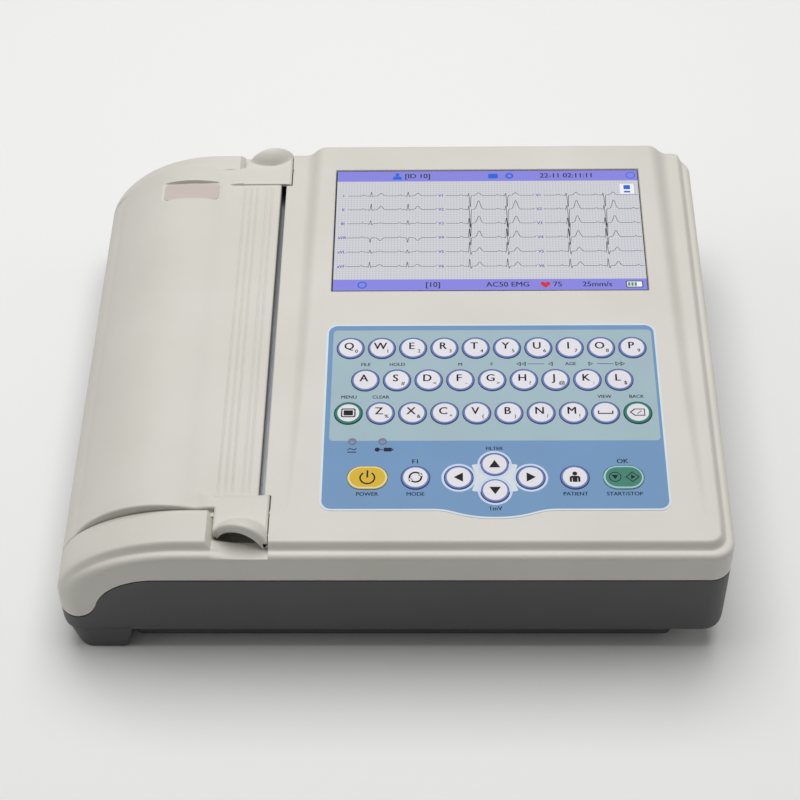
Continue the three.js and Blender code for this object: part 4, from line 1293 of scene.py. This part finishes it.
def halo(name):
    """A pale ring of ink round one round key."""
    x, y, _ = places[name]
    return [circle(x, y, KEY_RADIUS + 1.4, 48), circle(x, y, KEY_RADIUS + 0.32, 40)]


for name in ("left", "up", "right", "down"):
    flat_piece(f"halo_{name}", lilac_ink, *ON_FILM, 0.221, 0.235 + 0.002 * len(name), halo(name))
arrow_middle = (places["up"][0], places["left"][1])
half_across = (places["right"][0] - places["left"][0]) / 2
web_left, web_top = half_across - 8.35, (places["up"][1] - places["down"][1]) / 2
web = np.array([(-web_left - 2.6, -web_top), (-web_left + 1.4, -web_top - 0.6),
                (web_left - 1.4, -web_top - 0.6), (web_left + 2.6, -web_top),
                (web_left + 0.1, 0), (web_left + 2.6, web_top), (web_left - 1.4, web_top + 0.6),
                (-web_left + 1.4, web_top + 0.6), (-web_left - 2.6, web_top), (-web_left - 0.1, 0)])
web = round_corners(web + arrow_middle, [0.6] * 4 + [9.0] + [0.6] * 4 + [9.0])
flat_piece("arrow_web", web_ink, *ON_FILM, 0.221, 0.229, [web])
lamp_marks = [stroke([(-67.2, -61.4), (-66.2, -60.5), (-65.2, -61.0), (-64.2, -61.5), (-63.2, -60.6)], 0.45),
              rounded_box(-67.4, -63.2, -63.0, -62.5, 0.1),
              rounded_box(-50.6, -46.9, -62.4, -60.2, 0.3), rounded_box(-46.8, -46.2, -61.8, -60.8, 0.1),
              circle(-53.6, -61.3, 1.2, 20), rounded_box(-52.5, -50.8, -61.5, -61.1, 0.1)]
flat_piece("lamp_marks", navy_ink, *ON_FILM, 0.221, 0.236, lamp_marks)
x_mode, x_start, x_down = places["mode"][0], places["start_stop"][0], places["down"][0]
flat_piece("small_legends", navy_ink, *ON_FILM, 0.221, 0.236,
           texts=[("F1", x_mode, -68.3, 3.6), ("OK", x_start, -68.3, 3.6),
                  ("1mV", x_down, places["down"][1] - 9.9, 3.2)])
ROW = places["q"][1] - places["a"][1]
WORDS_ABOVE = (("FILE", "a"), ("HOLD", "s"), ("M", "f"), ("F", "g"), ("MENU", "menu"), ("CLEAR", "z"),
               ("VIEW", "space"), ("BACK", "backspace"))
WORDS_BELOW = (("POWER", "power"), ("MODE", "mode"), ("PATIENT", "patient"), ("START/STOP", "start_stop"))
captions = [(word, places[key][0], places[key][1] + 0.49 * ROW, 2.7) for word, key in WORDS_ABOVE]
captions += [(word, places[key][0], places[key][1] - 9.2, 2.9) for word, key in WORDS_BELOW]
captions.append(("FILTER", x_down, places["up"][1] + 9.3, 2.7))
age_y = places["a"][1] + 0.5 * ROW
age_x = (places["j"][0] + places["k"][0]) / 2
captions.append(("AGE", age_x, age_y, 2.7))
slider = [stroke([(age_x + side * 12.5, age_y), (age_x + side * 20.5, age_y)], 0.3) for side in (-1, 1)]
for side, turn in ((-1, 180), (1, 0)):
    slider += [triangle(age_x + side * reach, age_y, 2.2, turn) for reach in (9.5, 22.3, 24.7)]
    slider += [triangle(age_x + side * reach, age_y, 1.2, turn) for reach in (9.5, 22.3, 24.7)]
flat_piece("key_captions", navy_ink, *ON_FILM, 0.241, 0.252, slider, captions)


def lamp(name, x, y):
    """A small domed lens: a turned quarter ellipse on the film."""
    steps, rows = 32, 8
    angle = np.arange(steps) * 2 * math.pi / steps
    rise = np.linspace(0, math.pi / 2, rows) * 0.97
    px = x + 1.95 * np.cos(rise)[None, :] * np.cos(angle)[:, None]
    py = y + 1.95 * np.cos(rise)[None, :] * np.sin(angle)[:, None]
    pz = np.broadcast_to(0.2 + 0.45 * np.sin(rise), px.shape)
    i, j = np.meshgrid(np.arange(steps), np.arange(rows - 1), indexing="ij")
    after = (i + 1) % steps
    side = np.stack([i * rows + j, after * rows + j, after * rows + j + 1, i * rows + j + 1], -1)
    faces = [list(face) for face in side.reshape(-1, 4)]
    faces.append([step * rows + rows - 1 for step in range(steps)])
    faces.append([step * rows for step in range(steps)][::-1])
    points = np.stack([px, py, pz], -1).reshape(-1, 3)
    make_piece(name, on_console(points), faces, [grey_lens], *ON_FILM)


lamp("mains_lamp", -65.2, -56.5)
lamp("battery_lamp", -51.2, -56.5)

# %% [markdown]
# ## The screen
# A colour screen shows a pale sheet with a fine grid, twelve heartbeat traces in three columns, and a status
# bar above and below. The sheet glows a little, so its shader emits its own colour. The grid is drawn by the
# material at a real pitch, and each trace is a thin ribbon along a sum of bell curves.

# %% Screen glass and picture


def glowing(name, hex_value, strength, roughness=0.12):
    """A lit part of the screen behind a smooth cover: its own colour as light, and a clear gloss over it."""
    material, tree, shader, place = new_finish(name)
    set_values(shader, Base_Color=colour("#101114"), Roughness=roughness, IOR=1.5, Coat_Weight=0.3,
               Emission_Color=colour(hex_value), Emission_Strength=strength)
    return material, tree, shader, place


GLOW = 0.92
sheet_look, tree, shader, place = glowing("lit_screen_sheet", "#D5D3DF", GLOW)
turned = add(tree, "ShaderNodeMapping", {"Rotation": (-TILT, 0, 0)}, {"Vector": place})
axes = add(tree, "ShaderNodeSeparateXYZ", links={"Vector": turned.outputs[0]})
inks = []
for output in ("X", "Y"):
    scaled = add(tree, "ShaderNodeMath", {1: 1 / (1.5 * MM)}, {0: axes.outputs[output]}, operation="MULTIPLY")
    part = add(tree, "ShaderNodeMath", links={0: scaled.outputs[0]}, operation="FRACT")
    inks.append(add(tree, "ShaderNodeMath", {1: 0.16}, {0: part.outputs[0]}, operation="LESS_THAN"))
grid = add(tree, "ShaderNodeMath", links={0: inks[0].outputs[0], 1: inks[1].outputs[0]}, operation="MAXIMUM")
ink = add(tree, "ShaderNodeMix", {"A": colour("#DADBE0"), "B": colour("#C2C5CF")},
          {"Factor": grid.outputs[0]}, data_type="RGBA")
tree.links.new(ink.outputs["Result"], shader.inputs["Emission Color"])
bar_look = glowing("lit_violet_bar", "#8E8CE8", GLOW)[0]
white_look = glowing("lit_white_mark", "#FAFAFF", GLOW)[0]
trace_look = glowing("dark_trace", "#2E3238", 0.5)[0]
label_look = glowing("lit_blue_label", "#3A4FC0", 0.8)[0]
bar_ink = glowing("dark_navy_mark", "#16205A", 0.5, 0.4)[0]
green_level = glowing("lit_green_mark", "#3FA45B", 0.8)[0]
icon_look = glowing("lit_blue_mark", "#2F6BE0", GLOW)[0]
heart_look = glowing("lit_red_mark", "#E0302F", 0.9)[0]
screen_edge = printed_film("black_screen_surround", "#15161A", 0.2)

glass_low, glass_high = box_mm("display_window")
SCREEN_HALF_X = (glass_high[0] - glass_low[0]) / 2
SCREEN_Y0, SCREEN_Y1 = 78.9 - 41.0, 78.9 + 43.2
BAR = 7.4
FACE = -0.5
glass = flat_piece("screen_glass", screen_edge, *ON_SCREEN, -2.1, FACE,
                   [rounded_box(-SCREEN_HALF_X, SCREEN_HALF_X, SCREEN_Y0, SCREEN_Y1, 0.4)])
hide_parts("display_window")


def on_screen(name, look, low, high, outlines=(), texts=()):
    """A flat mark on the screen, between two heights over its face."""
    flat_piece(name, look, *ON_SCREEN, FACE + low, FACE + high, outlines, texts)


SURROUND = 0.3
SHOWN = SCREEN_HALF_X - SURROUND
on_screen("screen_sheet", sheet_look, 0.0, 0.02,
          [rounded_box(-SHOWN, SHOWN, SCREEN_Y0 + SURROUND, SCREEN_Y1 - SURROUND, 0.2)])
on_screen("screen_bars", bar_look, 0.021, 0.03,
          [rounded_box(-SHOWN, SHOWN, SCREEN_Y0 + SURROUND, SCREEN_Y0 + SURROUND + BAR, 0.2),
           rounded_box(-SHOWN, SHOWN, SCREEN_Y1 - SURROUND - BAR, SCREEN_Y1 - SURROUND, 0.2)])

# %% Heartbeat traces


def heartbeat(t, tall, deep, wave):
    """One beat as a sum of bell curves: a small P, the Q, R and S of the spike, and a broad T."""
    bells = ((0.18, 0.025, 0.12), (0.36, 0.010, -0.1), (0.395, 0.012, tall), (0.43, 0.013, -deep),
             (0.66, 0.045, wave))
    return sum(size * np.exp(-((t - middle) / (1.4 * width)) ** 2) for middle, width, size in bells)


LEADS = (("I", 0.5, 0.1, 0.33), ("II", 0.75, 0.1, 0.45), ("III", 0.4, 0.15, 0.1), ("aVR", -0.6, 0.0, -0.35),
         ("aVL", 0.25, 0.15, 0.12), ("aVF", 0.55, 0.1, 0.25), ("V1", 0.3, 1.5, 0.35), ("V2", 0.5, 2.3, 1.1),
         ("V3", 0.7, 1.7, 0.9), ("V4", 1.1, 1.0, 0.8), ("V5", 1.2, 0.4, 0.5), ("V6", 0.9, 0.3, 0.5))
TRACE_TOP, TRACE_STEP = SCREEN_Y1 - 16.2, 9.9
COLUMNS = (-71.5, -21.5, 28.5)
ribbons, names = [], []
for number in range(18):
    column, row = divmod(number, 6)
    lead, tall, deep, wave = LEADS[min(number, 11)] if column < 2 else LEADS[6 + row]
    start = COLUMNS[column]
    stop = COLUMNS[column + 1] - 4.5 if column < 2 else SHOWN - 0.5
    t = np.linspace(0, (stop - start) / 18.9, 420)
    height = heartbeat((t - 0.23) % 1.0, tall, deep, wave)
    level = TRACE_TOP - 2 - row * TRACE_STEP
    path = np.stack([start + t * 18.9, level + 5.6 * height], -1)
    ribbons.append(path)
    names.append((lead, start - 2.4, level, 2.6))


def ribbon(path, width, low, high):
    """A thin flat strip along a path: four corners at each point, moved off the path along its normal."""
    run = np.gradient(path, axis=0)
    aside = np.stack([-run[:, 1], run[:, 0]], -1) / np.linalg.norm(run, axis=1, keepdims=True) * width / 2
    corners = [np.column_stack([path + side * aside, np.full(len(path), height)])
               for side, height in ((1, high), (-1, high), (-1, low), (1, low))]
    points = np.stack(corners, 1).reshape(-1, 3)
    first = np.arange(len(path) - 1)[:, None] * 4 + np.arange(4)[None, :]
    after = np.arange(len(path) - 1)[:, None] * 4 + np.array([1, 2, 3, 0])[None, :]
    faces = np.stack([first, after, after + 4, first + 4], -1).reshape(-1, 4).tolist()
    last = len(points) - 4
    return points, faces + [[3, 2, 1, 0], [last, last + 1, last + 2, last + 3]]


trace_points, trace_faces = [], []
for number, path in enumerate(ribbons):
    points, faces = ribbon(path, 0.26, FACE + 0.021, FACE + 0.026)
    trace_faces += [[corner + number * len(points) for corner in face] for face in faces]
    trace_points.append(points)
make_piece("screen_traces", on_console(np.concatenate(trace_points)), trace_faces, [trace_look],
           *ON_SCREEN, smooth=False)
on_screen("screen_lead_names", label_look, 0.021, 0.028, texts=names)

# %% Marks on the screen
low_bar, high_bar = SCREEN_Y0 + SURROUND + BAR / 2, SCREEN_Y1 - SURROUND - BAR / 2
heart = np.linspace(0, 2 * math.pi, 40)[:-1]
heart_rise = 13 * np.cos(heart) - 5 * np.cos(2 * heart) - 2 * np.cos(3 * heart) - np.cos(4 * heart)
heart_outline = np.stack([27.5 + 0.15 * 16 * np.sin(heart) ** 3, low_bar + 0.15 * heart_rise], -1)
on_screen("screen_heart", heart_look, 0.031, 0.04, [heart_outline])
on_screen("screen_bar_text", bar_ink, 0.031, 0.036,
          texts=[("[ID 10]", -36, high_bar, 4.6), ("22-11 02:11:11", 41, high_bar, 4.6),
                 ("[10]", -28, low_bar, 4.6), ("AC50 EMG", 9, low_bar, 4.6),
                 ("75", 33.5, low_bar, 4.6), ("25mm/s", 53, low_bar, 4.6)])
on_screen("screen_icons", icon_look, 0.031, 0.036,
          [circle(-46.5, high_bar + 1.2, 1.1, 20),
           rounded_box(0.5, 5.5, high_bar - 1.8, high_bar + 1.6, 0.4),
           round_corners([(-49, high_bar - 2.4), (-44, high_bar - 2.4), (-44.6, high_bar),
                          (-48.4, high_bar)], [0.2, 0.2, 1, 1]),
           *band(11.5, high_bar, 1.6, 1.0), *band(74, high_bar, 2.2, 0.5), *band(-63, low_bar, 2.0, 0.7)])
on_screen("screen_battery", white_look, 0.031, 0.036,
          [rounded_box(67.6, 75.0, low_bar - 1.7, low_bar + 1.7, 0.3),
           rounded_box(68.0, 75.2, SCREEN_Y1 - 17.5, SCREEN_Y1 - 10.4, 0.5)])
on_screen("screen_battery_edge", bar_ink, 0.031, 0.034,
          [rounded_box(67.1, 75.5, low_bar - 2.2, low_bar + 2.2, 0.5),
           rounded_box(67.61, 74.99, low_bar - 1.69, low_bar + 1.69, 0.3)])
on_screen("screen_battery_level", green_level, 0.037, 0.04,
          [rounded_box(68.1 + 1.6 * cell, 69.2 + 1.6 * cell, low_bar - 1.2, low_bar + 1.2, 0.1)
           for cell in range(3)])
on_screen("screen_button_mark", icon_look, 0.037, 0.04,
          [rounded_box(69.9, 73.3, SCREEN_Y1 - 14.2, SCREEN_Y1 - 11.2, 0.3),
           rounded_box(70.0, 73.2, SCREEN_Y1 - 16.6, SCREEN_Y1 - 15.4, 0.1)])

# %% [markdown]
# ## Works, bearings and sockets
# The pieces inside keep their CAD shape, which is already exact, and get the finish of what they are made of:
# turned steel, natural nylon, rubber, tinned board and heat-shrunk film. Metals are told from plastics by
# the metallic value, and each has its own grain.

# %% Finishes of the works


def metal(name, hex_value, roughness, stretch=(1, 1, 1)):
    """Bare metal: fine grain drawn out along the way it was turned or rolled, which varies the roughness."""
    material, tree, shader, place = new_finish(name)
    drawn = add(tree, "ShaderNodeMapping", {"Scale": stretch}, {"Vector": place})
    speck = add(tree, "ShaderNodeTexNoise", {"Scale": per_mm(0.8), "Detail": 3},
                {"Vector": drawn.outputs[0]})
    gloss = add(tree, "ShaderNodeMapRange", {"To Min": roughness - 0.06, "To Max": roughness + 0.1},
                {"Value": speck.outputs["Fac"]})
    bump = add(tree, "ShaderNodeBump", {"Strength": 0.2, "Distance": 0.01 * MM},
               {"Height": speck.outputs["Fac"]})
    tree.links.new(gloss.outputs[0], shader.inputs["Roughness"])
    tree.links.new(bump.outputs[0], shader.inputs["Normal"])
    set_values(shader, Base_Color=colour(hex_value), Metallic=1.0)
    return material


turned_steel = metal("turned_bright_steel", "#B9BABC", 0.28, (1, 0.1, 1))
zinc_steel = metal("zinc_plated_steel_sheet", "#A9ABAD", 0.42)
satin_aluminium = metal("anodised_aluminium_extrusion", "#A2A5A9", 0.38, (1, 0.08, 1))
turned_brass = metal("turned_brass", "#C7A55A", 0.3, (1, 0.1, 1))
natural_nylon = moulded_abs("natural_moulded_nylon", "#E4DFD0", "#D6D0BE", 0.42, 1.2, 0.02, 1.53)
platen_rubber = moulded_abs("black_ground_rubber", "#2B2B2D", "#222224", 0.78, 0.3, 0.03, 1.52)
thermal_paper = moulded_abs("white_thermal_paper", "#F1EFEA", "#E8E5DE", 0.62, 0.2, 0.01, 1.45)
green_board = moulded_abs("green_solder_mask_board", "#2C6B45", "#205537", 0.35, 2.2, 0.03, 1.55)
blue_wrap = moulded_abs("blue_heat_shrink_film", "#2E5FA6", "#284F8E", 0.3, 3.0, 0.05, 1.5)
smoke_film = moulded_abs("grey_thermoplastic_socket", "#55585D", "#4A4D52", 0.45)

roll_low, roll_high = box_mm("paper_roll")
spindle_low, spindle_high = box_mm("paper_spindle")
roll_radius = (roll_high[2] - roll_low[2]) / 2
roll_x, roll_z = (roll_low[0] + roll_high[0]) / 2, (roll_low[2] + roll_high[2]) / 2
roll_body = body_of(nodes["paper_roll"])[0]
print("paper roll: radius", round(float(roll_radius), 2), "on", roll_body)
roll_bore = (spindle_high[2] - spindle_low[2]) / 2 + 0.3
roll = tube("paper_roll_turned", roll_x, roll_z, roll_radius, roll_bore, roll_low[1], roll_high[1],
            [thermal_paper], roll_body, "recording_paper", 96)
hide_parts("paper_roll")

WORKS = {"lid_hinge_rod": turned_steel, "paper_tray": charcoal_abs,
         "paper_spindle": natural_nylon, "platen_roller": platen_rubber, "platen_gear": natural_nylon,
         "idler_gear": natural_nylon, "motor_pinion": turned_brass, "drive_motor": zinc_steel,
         "print_head": satin_aluminium, "display_module": zinc_steel, "main_board": green_board,
         "power_supply": zinc_steel, "battery_pack": blue_wrap,
         "mains_inlet": black_abs, "mains_switch": black_abs, "patient_connector": smoke_film}
for name, look in WORKS.items():
    mesh = nodes[name].data
    if len(mesh.materials) == 0:
        mesh.materials.append(look)
    for index in range(len(mesh.materials)):
        mesh.materials[index] = look
print("finishes given to", len(WORKS), "kept nodes")

# %% [markdown]
# ## What the underside shows
# Turned over, the machine shows rubber pads, six screws, a ribbed battery door and a rating plate, which is
# left blank. All are short rounded prisms that reach a little below the floor of the plinth.

# %% Pads, screws and a blank plate underneath
dark_rubber = moulded_abs("dark_grey_foot_rubber", "#303032", "#29292B", 0.85, 0.6, 0.05, 1.52)
for side, y in (("front", -111.0), ("back", 111.0)):
    prism(f"rubber_pad_right_{side}", circle(119.0, y, 6.5), 0.0, 1.3, [dark_rubber], *ON_BASE, 0.4, "Z")
for number, (x, y) in enumerate([(-108, -60), (-108, 60), (10, -112), (10, 112), (122, -60), (122, 60)]):
    prism(f"base_screw_{number + 1}", circle(x, y, 3.0, 32), 0.55, 1.3, [turned_steel], "machine",
          "steel_rod", 0.3, "Z")
door_low, door_high = box_mm("battery_door")
print("battery door", door_low.round(1), door_high.round(1))
door_outline = rounded_box(door_low[0], door_high[0], door_low[1], door_high[1], 3.0)
door = prism("battery_door_panel", door_outline, 0.6, 2.4, [charcoal_abs], *ON_BASE, 0.35, "Z")
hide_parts("battery_door")
for number in range(5):
    rib_x = door_high[0] - 10 - 3.0 * number
    prism(f"battery_door_rib_{number + 1}", circle(rib_x, 0.75, 0.6, 16), door_low[1] + 22, door_high[1] - 22,
          [charcoal_abs], *ON_BASE, 0.4)
plate_outline = rounded_box(door_low[0] - 78, door_low[0] - 8, -20, 22, 2.0)
prism("blank_rating_plate", plate_outline, 0.75, 1.1, [badge_film], *ON_BASE, 0.1, "Z")

# %% [markdown]
# ## Floor, light and camera
# A pale seamless floor and three large soft lights show a moulded case best: broad light from above models
# the cove and the console, and a weak fill keeps the front wall readable. The camera looks down from the
# front at about fifty degrees through a long lens, so the case's sides stay nearly parallel.

# %% Stage
floor_mesh = bpy.data.meshes.new("floor")
floor_mesh.from_pydata([(-4, -4, 0), (4, -4, 0), (4, 4, 0), (-4, 4, 0)], [], [(0, 1, 2, 3)])
stage_floor = bpy.data.objects.new("floor", floor_mesh)
bpy.context.scene.collection.objects.link(stage_floor)
paper_white, _, shader, _ = new_finish("matt_white_paper")
set_values(shader, Base_Color=colour("#F4F4F2"), Roughness=0.9)
floor_mesh.materials.append(paper_white)


def soft_light(name, place, target, size, power):
    """A square area light at a place in metres, turned to face a target."""
    data = bpy.data.lights.new(name, "AREA")
    data.shape = "SQUARE"
    data.size = size
    data.energy = power
    light = bpy.data.objects.new(name, data)
    light.location = place
    aim = np.array(target) - np.array(place)
    aim = aim / np.linalg.norm(aim)
    light.rotation_euler = (math.acos(-aim[2]), 0, math.atan2(aim[0], -aim[1]) + math.pi)
    bpy.context.scene.collection.objects.link(light)
    return light


soft_light("overhead_softbox", (0.0, 0.34, 1.45), (0, 0, 0.05), 1.2, 18.5)
soft_light("left_fill", (-1.35, -0.1, 0.8), (0, 0, 0.05), 1.0, 3.2)
soft_light("right_fill", (1.4, 0.2, 0.9), (0, 0, 0.05), 1.0, 2)

world = bpy.data.worlds.new("white_room")
world.use_nodes = True
world.node_tree.nodes["Background"].inputs["Color"].default_value = colour("#FFFFFF")
world.node_tree.nodes["Background"].inputs["Strength"].default_value = 0.16
bpy.context.scene.world = world
bpy.context.scene.view_settings.view_transform = "Standard"

lens = bpy.data.cameras.new("front_high_camera")
lens.sensor_width = 36.0
lens.lens = 87.66
lens.shift_x = 0.0038
camera = bpy.data.objects.new("front_high_camera", lens)
camera.location = (0.02348, -0.6370, 0.77265)
camera.rotation_euler = [math.radians(turn) for turn in (40.498, 1.091, 0.733)]
bpy.context.scene.collection.objects.link(camera)
bpy.context.scene.camera = camera
